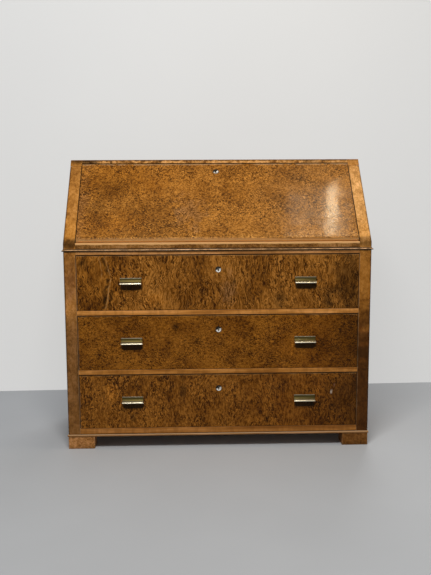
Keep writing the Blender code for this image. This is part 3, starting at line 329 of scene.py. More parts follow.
@cache
def grain_recipe() -> Tree:
    """Straight grain that runs up the Z axis of the place that is read.

    The place is squeezed along the grain, so that round noise becomes long fibres, and is first shifted by a
    slow noise, so that the fibres waver. Ripple is the cross figure of stressed wood.

    Returns:
        The group.
    """
    made = Recipe("straight grain", ("Band", "Fibre", "Ripple", "Pores"), Seed=0.0, Bands=48.0, Waver=0.012)
    bent = made.wavered(made.seeded(), 4.5, made.inlets["Waver"])
    squeezed, fine, crossed = (
        made.vector("MULTIPLY", bent, size) for size in ((1.0, 1.0, 0.06), (1.0, 1.0, 0.018), (0.5, 0.5, 1.6))
    )
    band = made.noise(squeezed, made.inlets["Bands"], 3.0, 0.6, 0.2)
    fibre = made.noise(fine, 420.0, 3.0, 0.6)
    ripple = made.noise(crossed, 34.0, 2.0, 0.5, 0.6)
    pores = made.spread(made.noise(fine, 1100.0, 1.0), 0.62, 0.74)
    return made.give(band, fibre, ripple, pores)


@cache
def cloud_recipe() -> Tree:
    """A soft patch with ragged edges: one at its middle, nothing past its reach.

    The round one takes the plain length of the offset, and the square one the fourth root of the sum of its
    fourth powers.

    Returns:
        The group.
    """
    made = Recipe("cloud", ("Mask",), Middle=ORIGIN, Reach=(0.1, 1.0, 0.1), Ragged=0.5, Core=0.15, Square=0.0)
    offset = made.vector("SUBTRACT", made.place, made.inlets["Middle"])
    share = made.vector("DIVIDE", offset, made.inlets["Reach"])
    corner = made.math("SQRT", made.vector("LENGTH", made.vector("MULTIPLY", share, share)))
    away = made.mix_numbers(made.inlets["Square"], made.vector("LENGTH", share), corner)
    frayed = made.minus(made.noise(made.place, 32.0, 4.0, 0.62), 0.5)
    reach = made.math("MULTIPLY_ADD", frayed, made.times(made.inlets["Ragged"], 4.0), away)
    return made.give(made.fade(reach, made.inlets["Core"], 1.05))


@cache
def vein_recipe() -> Tree:
    """A wavering upright line in a veneer.

    The distance to the line is how far across the place is from the line's own place, which wanders with
    height by a noise and leans. Past the line's two ends the mask fades.

    Returns:
        The group.
    """
    made = Recipe("vein", ("Mask",), Across=0.0, Low=0.0, High=0.0, Width=0.003, Wander=0.02, Lean=0.0)
    across, _, up = made.parts(made.place)
    middle = made.inlets["Across"]
    sway = made.minus(made.noise(made.joined(middle, 0.0, up), 19.0, 3.0, 0.55), 0.5)
    line = made.math("MULTIPLY_ADD", sway, made.inlets["Wander"], middle)
    line = made.math("MULTIPLY_ADD", made.inlets["Lean"], up, line)
    core = made.fade(made.math("DIVIDE", made.apart(across, line), made.inlets["Width"]), 0.25, 1.0)
    start = made.spread(made.minus(up, made.inlets["Low"]), 0.0, 0.012)
    end = made.spread(made.minus(made.inlets["High"], up), 0.0, 0.012)
    broken = made.spread(made.noise(made.place, 60.0), 0.30, 0.52)
    return made.give(made.times(made.times(core, broken), made.times(start, end)))


@cache
def line_recipe() -> Tree:
    """A strip that keeps the same distance from a side, with ragged edges and breaks.

    Returns:
        The group.
    """
    made = Recipe("line", ("Mask",), Distance=0.0, Start=0.0, Width=0.002, Broken=0.0, Ragged=0.35)
    width, gap = made.inlets["Width"], made.inlets["Broken"]
    rag = made.times(made.spread(made.noise(made.place, 60.0, 3.0), 0.3, 0.7, -1.0, 1.0), made.inlets["Ragged"])
    inner = made.minus(made.inlets["Distance"], made.inlets["Start"])
    begins = made.spread(inner, -0.2 * MM, 0.2 * MM)
    ends = made.fade(made.minus(inner, made.math("MULTIPLY_ADD", width, rag, width)), -0.4 * MM, 0.4 * MM)
    low, high = made.minus(gap, 0.08), made.math("ADD", gap, 0.08)
    gate = made.spread(made.noise(made.place, 26.0, 3.0, 0.6), low, high)
    return made.give(made.times(made.times(begins, ends), gate))


@cache
def arris_recipe() -> Tree:
    """How near a place on a board is to the board's arrises.

    Of the three distances from the place to the board's pairs of faces, one is nothing on a face, and the
    middle one is the distance to the nearest arris.

    Returns:
        The group.
    """
    made = Recipe("arris wear", ("Mask",), Half=ORIGIN, Width=0.003)
    uneven = made.spread(made.noise(made.place, 55.0, 4.0, 0.65), 0.3, 0.7, 0.2, 1.8)
    inwards = made.vector("SUBTRACT", made.inlets["Half"], made.vector("ABSOLUTE", made.place))
    across, deep, up = made.parts(inwards)
    middle = made.greater(
        made.math("MINIMUM", across, deep), made.math("MINIMUM", made.greater(across, deep), up),
    )
    share = made.math("DIVIDE", middle, made.times(made.inlets["Width"], uneven))
    return made.give(made.fade(share, 0.35, 1.0))


@cache
def handling_recipe() -> Tree:
    """What hands and cloths leave on a surface: broad smears, fine scratches and specks.

    Returns:
        The group.
    """
    made = Recipe("handling", ("Smears", "Scratches", "Specks"))
    smears = made.noise(made.place, 11.0, 4.0, 0.6, 1.5)
    drawn = made.vector("MULTIPLY", made.place, (1.0, 1.0, 0.05))
    threads = made.apart(made.noise(drawn, 160.0, 1.0, 0.5, 0.4), 0.5)
    gate = made.spread(made.noise(made.place, 15.0), 0.58, 0.66)
    specks = made.spread(made.noise(made.place, 340.0, 1.0), 0.70, 0.76)
    return made.give(smears, made.times(made.fade(threads, 0.0, 0.006), gate), specks)


@cache
def tarnish_recipe() -> Tree:
    """Age on metal: dull cloudy tarnish, pits, and the fine lines of a drawn surface along X.

    Returns:
        The group.
    """
    made = Recipe("tarnish", ("Dull", "Lines", "Pits"), Scale=90.0)
    dull = made.noise(made.place, made.inlets["Scale"], 5.0, 0.65, 0.8)
    lines = made.noise(made.vector("MULTIPLY", made.place, (0.012, 1.0, 1.0)), 2400.0)
    return made.give(dull, lines, made.spread(made.noise(made.place, 700.0), 0.64, 0.72))


# Panels


class Side(Enum):
    """A side of a panel, as the direction that it faces in the panel's own coordinates."""

    FRONT = (0.0, -1.0, 0.0)
    REAR = (0.0, 1.0, 0.0)
    LEFT = (-1.0, 0.0, 0.0)
    RIGHT = (1.0, 0.0, 0.0)
    TOP = (0.0, 0.0, 1.0)
    UNDER = (0.0, 0.0, -1.0)


@dataclass(frozen=True)
class Panel:
    """Where a board lies and how its own coordinates are turned.

    Attributes:
        middle: Middle of the board in its own turned frame.
        half: Half its size across, deep and up.
        turn: Rotation from the chest's frame to its own.
        slope_above: Level above which the board leans back with the slope, for a board with a bend.
    """

    middle: Vector
    half: Vector
    turn: Matrix
    slope_above: float | None = None

    @classmethod
    def of_node(cls, node: str, turn: Matrix | None = None, slope_above: float | None = None) -> Panel:
        """Measure a board of the frame.

        Args:
            node: Name of the board.
            turn: Rotation to its own coordinates, or nothing for an upright board.
            slope_above: Level above which it leans back, or nothing.

        Returns:
            The panel.
        """
        turn = turn or Matrix.Identity(3)
        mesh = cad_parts[node].data
        points = np.empty(len(mesh.vertices) * 3, np.float32)
        mesh.vertices.foreach_get("co", points)
        own = points.reshape(-1, 3) @ np.array(turn).T
        low, high = own.min(axis=0), own.max(axis=0)
        return cls(Vector((low + high) / 2), Vector((high - low) / 2), turn, slope_above)

    def place(self, board: Board) -> Socket:
        """The panel's own coordinates as a shader reads them.

        Above the bend the place is turned with the slope, about the bend.

        Args:
            board: Material that reads them.

        Returns:
            The place.
        """
        where = board.put("TexCoord", {}, "Object")
        upright = board.mapped(where, tuple(self.turn.to_euler("XYZ")), tuple(-self.middle))
        if self.slope_above is None:
            return upright
        bend = Vector((0.0, FRONT, self.slope_above))
        shift = bend - self.middle - SLOPE_TURN @ bend
        leaning = board.mapped(where, tuple(SLOPE_TURN.to_euler("XYZ")), tuple(shift))
        above = board.math("GREATER_THAN", board.parts(where)[2], self.slope_above)
        return board.mix_places(above, upright, leaning)

    def spot(self, across: float, up: float) -> Triple:
        """A place on the panel, from shares of its width and height, in its own coordinates."""
        return (2 * across - 1) * self.half.x, 0.0, (2 * up - 1) * self.half.z


class Coat(Board):
    """A material in the making. Its place is its panel's, or the chest's where it has no panel."""

    def __init__(self, name: str, panel: Panel | None = None) -> None:
        """Begin a material.

        Args:
            name: Name of the finish.
            panel: Panel that it is for.
        """
        self.material = bpy.data.materials.new(name)
        self.material.use_nodes = True
        super().__init__(self.material.node_tree)
        self.shader = self.tree.nodes["Principled BSDF"]
        self.panel = panel
        self.place = panel.place(self) if panel else self.put("TexCoord", {}, "Object")

    def show(self, **inputs: Value) -> None:
        """Fill inputs of the Principled shader, named with _ for a space."""
        for name, value in inputs.items():
            self.feed(self.shader.inputs[name.replace("_", " ")], value)

    def emboss(self, height: Value, distance: float, strength: float) -> None:
        """Let the light see a height as relief."""
        self.show(Normal=self.put("Bump", {"Height": height, "Distance": distance, "Strength": strength}))

    def distance(self, side: Side) -> Socket:
        """How far in from a side of the panel the place is."""
        reach = self.panel.half.dot(Vector([abs(part) for part in side.value]))
        return self.minus(reach, self.vector("DOT_PRODUCT", self.place, side.value))

    def marked(self, colour: Socket, marks: tuple[Mark, ...]) -> Socket:
        """Lay marks over a colour.

        Args:
            colour: Colour before them.
            marks: The marks, in order.

        Returns:
            The colour with the marks.
        """
        for mark in marks:
            colour = mark.lay(self, colour)
        return colour


# Woods


@dataclass(frozen=True)
class Tone:
    """Colours of a wood, from its darkest figure to its lightest."""

    dark: Colour
    middle: Colour
    light: Colour

    @classmethod
    def around(cls, middle: Colour, depth: float = 0.50, lift: float = 1.55) -> Tone:
        """Colours around a middle one. Dark figure is redder than the ground, and light figure paler.

        Args:
            middle: Colour of the ground.
            depth: What the dark figure keeps of its red.
            lift: What the light figure has of its red.

        Returns:
            The tone.
        """
        dark = tuple(part * depth ** power for part, power in zip(middle, (1.0, 1.2, 1.45)))
        light = tuple(part * lift ** power for part, power in zip(middle, (0.9, 1.15, 2.2)))
        return cls(dark, middle, light)

    def shaded(self, shade: Colour) -> Tone:
        """The tone with each colour times a shade."""
        colours = (self.dark, self.middle, self.light)
        return Tone(*(tuple(part * share for part, share in zip(colour, shade)) for colour in colours))

    def crevice(self) -> Colour:
        """Colour of pores and of the darkest strokes."""
        return tuple(part * 0.55 for part in self.dark)

    def gleam(self) -> Colour:
        """Colour of the brightest flecks."""
        return tuple(part * 1.35 for part in self.light)


@dataclass(frozen=True)
class Sample:
    """What a wood shows at each place: its colour and the height of its figure."""

    colour: Socket
    relief: Socket


class Wood(Protocol):
    """A wood that a board or a veneer is made of."""

    def draw(self, coat: Coat) -> Sample:
        """Draw the wood in a material."""


class Mark:
    """Something laid over a wood, which lightens it, darkens it or gives it a tint."""

    strength: float
    tint: Colour | None
    tints_by_factor: ClassVar[bool] = False  # whether its tint is a factor of the colour under it

    def mask(self, coat: Coat) -> Socket:
        """Where the mark is."""
        raise NotImplementedError

    def lay(self, coat: Coat, colour: Socket) -> Socket:
        """Lay the mark over a colour.

        Args:
            coat: Material that it belongs to.
            colour: Colour before it.

        Returns:
            The colour with the mark.
        """
        mask = self.mask(coat)
        if not self.tint:
            return coat.shaded(colour, mask, self.strength)
        over = coat.mix(1.0, colour, self.tint, "MULTIPLY") if self.tints_by_factor else self.tint
        return coat.veil(colour, mask, self.strength, over)


@dataclass(frozen=True)
class Burr:
    """A burr, with curly strokes between light flecks."""

    tone: Tone
    seed: float
    stretch: float = 1.0  # how much the figure is drawn out up the panel
    bend: float = 0.016  # how far it is bent
    stroke_scale: float = 70.0  # strokes per metre
    strokes: float = 0.55  # strength of the dark strokes
    glints: float = 0.30  # strength of the light flecks
    mottle: float = 0.55  # weight of the fine mottle
    clouding: float = 0.40  # weight of the slow clouding
    cloud_scale: float = 7.0  # clouds per metre

    def draw(self, coat: Coat) -> Sample:
        """Draw the burr in a material.

        Args:
            coat: The material.

        Returns:
            Its colour and relief.
        """
        figure = coat.use(
            burr_recipe(), Vector=coat.place, Seed=self.seed, Stretch=self.stretch, Bend=self.bend,
            Stroke_Scale=self.stroke_scale, Cloud_Scale=self.cloud_scale,
        )
        share = 0.5 - 0.5 * (self.mottle + self.clouding)
        for layer, weight in (("Mottle", self.mottle), ("Clouding", self.clouding)):
            share = coat.math("MULTIPLY_ADD", coat.spread(figure[layer], 0.32, 0.68), weight, share)
        tone = self.tone
        colour = coat.ramp(share, (0.10, tone.dark), (0.50, tone.middle), (0.92, tone.light))
        colour = coat.veil(colour, figure["Glints"], self.glints, tone.gleam())
        colour = coat.veil(colour, figure["Strokes"], self.strokes, tone.crevice())
        colour = coat.veil(colour, figure["Pores"], 0.25, tone.crevice())
        return Sample(colour, coat.minus(figure["Mottle"], figure["Strokes"]))


class Run(Enum):
    """Which way the grain of a board runs, as the rotation that brings it upright."""

    UP = (0.0, 0.0, 0.0)
    ACROSS = (0.0, math.pi / 2, 0.0)
    DEEP = (math.pi / 2, 0.0, 0.0)


@dataclass(frozen=True)
class Straight:
    """Straight-grained wood."""

    tone: Tone
    run: Run
    seed: float = 0.0
    bands: float = 48.0  # bands per metre
    fibre: float = 0.30  # strength of the fibres
    ripple: float = 0.0  # strength of the cross figure
    waver: float = 0.012  # how far the grain wavers
    board_width: float | None = None  # width of the boards that it is joined from, if it is

    def draw(self, coat: Coat) -> Sample:
        """Draw the wood in a material.

        Each joined board shows another stretch: its number, counted across, shifts the place far along.

        Args:
            coat: The material.

        Returns:
            Its colour and relief.
        """
        turned = coat.mapped(coat.place, self.run.value)
        if self.board_width:
            number = coat.math("FLOOR", coat.math("DIVIDE", coat.parts(coat.place)[0], self.board_width))
            turned = coat.vector("ADD", turned, coat.scaled(BOARD_STEP, number))
        grain = coat.use(grain_recipe(), Vector=turned, Seed=self.seed, Bands=self.bands, Waver=self.waver)
        tone = self.tone
        share = coat.spread(grain["Band"], 0.30, 0.70)
        colour = coat.ramp(share, (0.06, tone.dark), (0.50, tone.middle), (0.94, tone.light))
        colour = coat.veil(colour, coat.spread(grain["Fibre"], 0.45, 0.72), self.fibre, tone.dark)
        if self.ripple:
            colour = coat.veil(colour, coat.spread(grain["Ripple"], 0.42, 0.64), self.ripple, tone.crevice())
        colour = coat.veil(colour, grain["Pores"], 0.30, tone.crevice())
        return Sample(colour, coat.minus(grain["Fibre"], grain["Pores"]))


@dataclass(frozen=True)
class Cloud(Mark):
    """A darker or lighter patch of a panel, its place and size as shares of the panel."""

    across: float
    up: float
    width: float  # half its width
    height: float  # half its height
    strength: float  # below zero it darkens
    ragged: float = 0.5
    tint: Colour | None = None  # factors of its colour
    core: float = 0.15  # share of its size that is even
    square: bool = False
    tints_by_factor = True

    def mask(self, coat: Coat) -> Socket:
        """Where the patch is."""
        half, middle = coat.panel.half, coat.panel.spot(self.across, self.up)
        return coat.use(
            cloud_recipe(), Vector=coat.place, Middle=middle, Ragged=self.ragged, Core=self.core,
            Reach=(2 * self.width * half.x, 1.0, 2 * self.height * half.z), Square=float(self.square),
        )[0]


@dataclass(frozen=True)
class Vein(Mark):
    """A wavering line of a panel, its place as shares of the panel and its width in metres."""

    across: float
    low: float
    high: float
    width: float
    strength: float  # below zero it darkens
    wander: float = 0.03
    lean: float = 0.0  # shift across for each metre up
    tint: Colour | None = None  # colour that it takes on

    def mask(self, coat: Coat) -> Socket:
        """Where the line is."""
        (across, _, low), (_, _, high) = (coat.panel.spot(self.across, up) for up in (self.low, self.high))
        return coat.use(
            vein_recipe(), Vector=coat.place, Across=across, Low=low, High=high, Width=self.width,
            Wander=self.wander, Lean=self.lean,
        )[0]


@dataclass(frozen=True)
class Line(Mark):
    """A light or dark line along a side of a panel."""

    side: Side
    tint: Colour
    strength: float
    width: float = 2.0 * MM
    start: float = -1.0 * MM  # how far from the side it begins
    broken: float = 0.0  # how much of it is missing, from 0 to 1
    ragged: float = 0.35  # how uneven its inner edge is
    reach: tuple[float, float] | None = None  # heights between which it runs, as shares of the panel

    def mask(self, coat: Coat) -> Socket:
        """Where the line is.

        Args:
            coat: Material that it belongs to.

        Returns:
            The mask.
        """
        mask = coat.use(
            line_recipe(), Vector=coat.place, Distance=coat.distance(self.side), Start=self.start,
            Width=self.width - min(self.start, 0.0), Broken=0.2 + 0.6 * self.broken if self.broken else -1.0,
            Ragged=self.ragged,
        )[0]
        if self.reach:
            up = coat.parts(coat.place)[2]
            low, high = (coat.panel.spot(0.0, share)[2] for share in self.reach)
            mask = coat.times(mask, coat.spread(up, low - MM, low + MM))
            mask = coat.times(mask, coat.fade(up, high - MM, high + MM))
        return mask


@dataclass(frozen=True)
class Zone:
    """A veneer, or another wood, that covers one side of a board, with its own marks."""

    side: Side
    wood: Wood
    marks: tuple[Mark, ...] = ()
    depth: float = 1.2 * MM

    def mask(self, coat: Coat) -> Socket:
        """Where the veneer is seen."""
        return coat.fade(coat.distance(self.side), self.depth - VENEER_EDGE, self.depth + VENEER_EDGE)


# Finishes


@dataclass(frozen=True)
class Varnish:
    """What lies over a wood."""

    roughness: float = 0.34
    smear: float = 0.12  # how much smears roughen it
    level: float = 0.14  # strength of its reflection
    tint: Colour = (1.0, 0.70, 0.36)
    coat: float = 0.0  # weight of the polish over it
    coat_roughness: float = 0.12
    relief: float = 0.12 * MM  # depth of the figure that is felt through it

    def cover(self, coat: Coat, relief: Socket) -> None:
        """Set the gloss and the fine relief.

        Args:
            coat: Material that gets them.
            relief: Height of the figure under the varnish.
        """
        traces = coat.use(handling_recipe(), Vector=coat.place)
        rough = coat.spread(traces["Smears"], 0.36, 0.66, self.roughness, self.roughness + self.smear)
        for trace, weight in (("Scratches", 0.12), ("Specks", 0.10)):
            rough = coat.math("MULTIPLY_ADD", traces[trace], weight, rough)
        coat.show(Roughness=rough, Specular_IOR_Level=self.level, Specular_Tint=(*self.tint, 1.0))
        if self.coat:
            worn = coat.spread(traces["Smears"], 0.38, 0.70, self.coat, self.coat * 0.45)
            coat.show(Coat_Weight=worn, Coat_Roughness=self.coat_roughness)
        coat.emboss(relief, self.relief, 0.5)


GLOSSY = Varnish(roughness=0.32, smear=0.09, level=0.26, coat=0.30, coat_roughness=0.10)
POLISHED = Varnish(coat=0.10)
SATIN = Varnish(roughness=0.42, level=0.20)
BARE = Varnish(roughness=0.66, smear=0.10, level=0.22, tint=(1.0, 0.95, 0.88), relief=0.25 * MM)


@dataclass(frozen=True)
class WoodFinish:
    """The finish of a board: its own wood, the veneers over it, marks, lines along its sides and wear."""

    name: str
    panel: Panel
    core: Wood
    zones: tuple[Zone, ...] = ()
    lines: tuple[Line, ...] = ()
    marks: tuple[Mark, ...] = ()
    wear: float = 0.0  # strength of the wear on its arrises
    bare: Colour = (0.36, 0.23, 0.13)  # colour of the worn arrises
    worn_width: float = 2.4 * MM
    varnish: Varnish = POLISHED

    def make(self) -> Material:
        """Build the material.

        Returns:
            The finished material.
        """
        coat = Coat(self.name, self.panel)
        shown = self.core.draw(coat)
        colour, relief = coat.marked(shown.colour, self.marks), shown.relief
        for zone in self.zones:
            mask, veneer = zone.mask(coat), zone.wood.draw(coat)
            colour = coat.mix(mask, colour, coat.marked(veneer.colour, zone.marks))
            relief = coat.mix_numbers(mask, relief, veneer.relief)
        if self.wear:
            half = tuple(self.panel.half)
            arris = coat.use(arris_recipe(), Vector=coat.place, Half=half, Width=self.worn_width)[0]
            colour = coat.veil(colour, arris, self.wear, self.bare)
        coat.show(Base_Color=coat.marked(colour, self.lines))
        self.varnish.cover(coat, relief)
        return coat.material


@dataclass(frozen=True)
class MetalFinish:
    """Worn metal with tarnish where it isn't touched. On a piece with a panel it is cleaner along its top edge
    and dark along the lowest millimetre of its underside.
    """

    name: str
    clean: Colour
    dull: Colour  # colour of the tarnish
    roughness: float
    dull_roughness: float
    cover: float  # share of the surface that the tarnish covers
    panel: Panel | None = None  # the piece, where hands rub one side of it
    rubbed: float = 0.0  # how far in from its front the piece is rubbed

    def make(self) -> Material:
        """Build the material.

        Returns:
            The finished material.
        """
        coat = Coat(self.name, self.panel)
        age = coat.use(tarnish_recipe(), Vector=coat.put("TexCoord", {}, "Object"))
        low = 0.74 - 0.48 * self.cover
        mask = coat.spread(age["Dull"], low - 0.09, low + 0.09)
        if self.panel:
            front, top, under = (coat.distance(side) for side in (Side.FRONT, Side.TOP, Side.UNDER))
            touched = coat.spread(front, self.rubbed * 0.7, self.rubbed * 2.3)
            touched = coat.times(touched, coat.spread(top, 1.0 * MM, 3.4 * MM, 0.72, 1.0))
            mask = coat.greater(coat.times(mask, touched), coat.spread(under, 0.3 * MM, 1.1 * MM, 0.8, 0.0))
        else:
            mask = coat.greater(mask, coat.times(age["Pits"], 0.3))
        polished = coat.spread(age["Lines"], 0.3, 0.7, self.roughness, self.roughness + 0.08)
        rough = coat.mix_numbers(mask, polished, self.dull_roughness)
        coat.show(Base_Color=coat.mix(mask, self.clean, self.dull), Metallic=1.0, Roughness=rough)
        coat.emboss(coat.math("ADD", age["Lines"], mask), (0.003 if self.panel else 0.04) * MM, 0.4)
        return coat.material


@dataclass(frozen=True)
class PlateFinish:
    """Nickel of a key plate, with painted light: a painted reflection makes the lower part of its dish bright,
    and painted shade darkens it above, round its rim and in the keyhole; pits are dark too.
    """

    name: str
    panel: Panel
    clean: Colour = (0.90, 0.86, 0.78)
    shade_and_pits: Colour = (0.030, 0.024, 0.016)
    lean: float = 0.45  # how much higher the painted reflection reaches at the right
    roughness: float = 0.30
    shade_and_pits_roughness: float = 0.7
    edge: tuple[float, float] = (-0.5 * MM, 2.6 * MM)  # levels between which the painted reflection ends
    rim: tuple[float, float] = (1.9 * MM, 1.1 * MM)  # inside its outer edge, where the painted shadow round the rim begins
    bottom: tuple[float, float] = (1.0 * MM, 0.5 * MM)  # from its back, where the painted shade in the keyhole begins

    def make(self) -> Material:
        """Build the material.

        Returns:
            The finished material.
        """
        coat = Coat(self.name, self.panel)
        age = coat.use(tarnish_recipe(), Vector=coat.place, Scale=260.0)
        across, depth, up = coat.parts(coat.place)
        rim = [self.panel.half.x - inset for inset in self.rim]
        bottom = [self.panel.half.y - inset for inset in self.bottom]
        # The bright part is a painted reflection and the dark above it painted shade; the boundary leans and
        # wavers.
        height = coat.math("MULTIPLY_ADD", across, -self.lean, up)
        height = coat.math("MULTIPLY_ADD", coat.minus(age["Dull"], 0.5), 6.0 * MM, height)
        outer = coat.spread(coat.vector("LENGTH", coat.joined(across, 0.0, up)), *rim, 0.0, 0.97)
        upper = coat.greater(coat.spread(height, *self.edge), outer)
        mask = coat.greater(upper, coat.greater(coat.spread(depth, *bottom), age["Pits"]))
        # Roughness of the painted reflection's part.
        rubbed = coat.spread(age["Lines"], 0.3, 0.7, self.roughness, self.roughness + 0.1)
        coat.show(
            Base_Color=coat.mix(mask, self.clean, self.shade_and_pits), Metallic=coat.fade(mask, 0.3, 0.9),
            Roughness=coat.mix_numbers(mask, rubbed, self.shade_and_pits_roughness), Specular_IOR_Level=0.05,
        )
        coat.emboss(coat.math("ADD", age["Lines"], mask), 0.05 * MM, 0.4)
        return coat.material


class Metal(Enum):
    """The metals of the plain hardware."""

    BRASS = MetalFinish("brass", (0.66, 0.50, 0.24), (0.20, 0.13, 0.05), 0.28, 0.50, 0.45)
    STEEL = MetalFinish("lock_steel", (0.40, 0.38, 0.35), (0.12, 0.09, 0.07), 0.34, 0.60, 0.50)

    @cache
    def material(self) -> Material:
        """The metal's material, made at its first use."""
        return self.value.make()


# Surfaces


def skin(
    name: str, grids: list[Grid], wrap_rows: bool = False, wrap_columns: bool = True, capped: bool = False,
    crease: float = 38.0,
) -> Piece:
    """Cover grids of points with faces.

    Neighbouring rows and columns are joined by quads, as index sums on whole arrays. A closed grid whose
    signed volume comes out below zero has its faces turned.

    Args:
        name: Name of the piece.
        grids: Points of each surface, as rows by columns by three.
        wrap_rows: Whether the last row meets the first.
        wrap_columns: Whether the last column meets the first.
        capped: Whether the first and last rows are closed by a face.
        crease: Angle past which an edge stays sharp, in degrees.

    Returns:
        The piece.
    """
    points: list[Grid] = []
    faces: list[list[int]] = []
    offset = 0
    for grid in grids:
        rows, columns = grid.shape[:2]
        row = np.arange(rows if wrap_rows else rows - 1)[:, None]
        column = np.arange(columns if wrap_columns else columns - 1)[None, :]
        here, below, beside = row * columns, (row + 1) % rows * columns, (column + 1) % columns
        corners = (here + column, here + beside, below + beside, below + column)
        quads = np.stack(corners, axis=-1).reshape(-1, 4)
        flat = grid.reshape(-1, 3)
        first, second, third, fourth = (flat[quads[:, corner]] for corner in range(4))
        volume = np.einsum("ij,ij->", first, np.cross(second, third) + np.cross(third, fourth))
        loops = quads.tolist()
        if capped:
            ends = [list(reversed(range(columns))), list(range((rows - 1) * columns, rows * columns))]
            for end in ends:
                middle = flat[end].mean(axis=0)
                fan = flat[end] - middle
                volume += float(middle @ np.cross(fan, np.roll(fan, -1, axis=0)).sum(axis=0))
            loops += ends
        if volume < 0.0:
            loops = [list(reversed(loop)) for loop in loops]
        points.append(flat)
        faces += [[index + offset for index in loop] for loop in loops]
        offset += rows * columns
    mesh = bpy.data.meshes.new(name)
    mesh.from_pydata(np.concatenate(points).tolist(), [], faces)
    mesh.polygons.foreach_set("use_smooth", np.ones(len(mesh.polygons), bool))
    mesh.set_sharp_from_angle(angle=math.radians(crease))
    item = bpy.data.objects.new(name, mesh)
    bpy.context.scene.collection.objects.link(item)
    return item


def arc(centre: tuple[float, float], radii: tuple[float, float], start: float, end: float, steps: int) -> Grid:
    """Points of an arc of an ellipse, each its centre plus the radii times the cosine and sine of an angle.

    Args:
        centre: Middle of the ellipse.
        radii: Its half width and half height.
        start: First angle, in degrees.
        end: Last angle.
        steps: Number of points.

    Returns:
        The points, as steps by two.
    """
    angle = np.radians(np.linspace(start, end, steps))
    return np.stack((centre[0] + radii[0] * np.cos(angle), centre[1] + radii[1] * np.sin(angle)), axis=-1)


def shrunk(outline: Grid, inset: Grid) -> Grid:
    """An outline moved inwards by several distances.

    Each point moves against the outline's own normal there, which is the turned chord of its neighbours.

    Args:
        outline: Closed outline, counter-clockwise, as points by two.
        inset: The distances.

    Returns:
        One outline for each distance.
    """
    chord = np.roll(outline, -1, axis=0) - np.roll(outline, 1, axis=0)
    normal = np.stack((chord[:, 1], -chord[:, 0]), axis=-1)
    normal /= np.linalg.norm(normal, axis=1, keepdims=True)
    return outline[None] - inset[:, None, None] * normal[None]


def set_on(place: Vector, axes: tuple[Vector, Vector, Vector], *local: Grid) -> Grid:
    """Points of the chest's frame, from an origin, three axes and the places along each of them."""
    spread = np.stack(np.broadcast_arrays(*local), axis=-1)
    return spread @ np.array([tuple(axis) for axis in axes]) + np.array(place)


def sheet(name: str, corner: Vector, along: Vector, aside: Vector) -> Piece:
    """A flat sheet for the stage, which faces along the cross product of its sides.

    Args:
        name: Name of the sheet.
        corner: One corner.
        along: First side, from there.
        aside: Second side, from there.

    Returns:
        The sheet.
    """
    rows = ((corner + along, corner + along + aside), (corner, corner + aside))
    item = skin(name, [np.array([[tuple(point) for point in row] for row in rows])], wrap_columns=False)
    if item.data.polygons[0].normal.dot(along.cross(aside)) < 0.0:
        item.data.flip_normals()
    return item


def fit(item: Piece, material: Material, body: str, slot: str, *nodes: str) -> None:
    """Finish a piece and hang it on its body.

    Args:
        item: The piece.
        material: Its finish.
        body: Body that carries it.
        slot: The record's material slot of its finish; not used.
        *nodes: Nodes of the frame that it stands for.
    """
    item.data.materials.append(material)
    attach(item, body)
    if nodes:
        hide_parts(*nodes)
    LOG.info("piece %s: %d faces", item.name, len(item.data.polygons))


def dress(material: Material, *nodes: str) -> None:
    """Give nodes of the frame their finish.

    Args:
        material: The finish.
        *nodes: Names of the nodes.
    """
    for node in nodes:
        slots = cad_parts[node].data.materials
        if slots:
            slots[0] = material
        else:
            slots.append(material)
        LOG.info("node %s: %s", node, material.name)


def veneer(node: str, name: str, core: Wood, panel: Panel | None = None, **looks: object) -> None:
    """Give a node a wood finish, on the node as it stands or on another panel, with the looks that it has."""
    dress(WoodFinish(name, panel or Panel.of_node(node), core, **looks).make(), node)


# Hardware


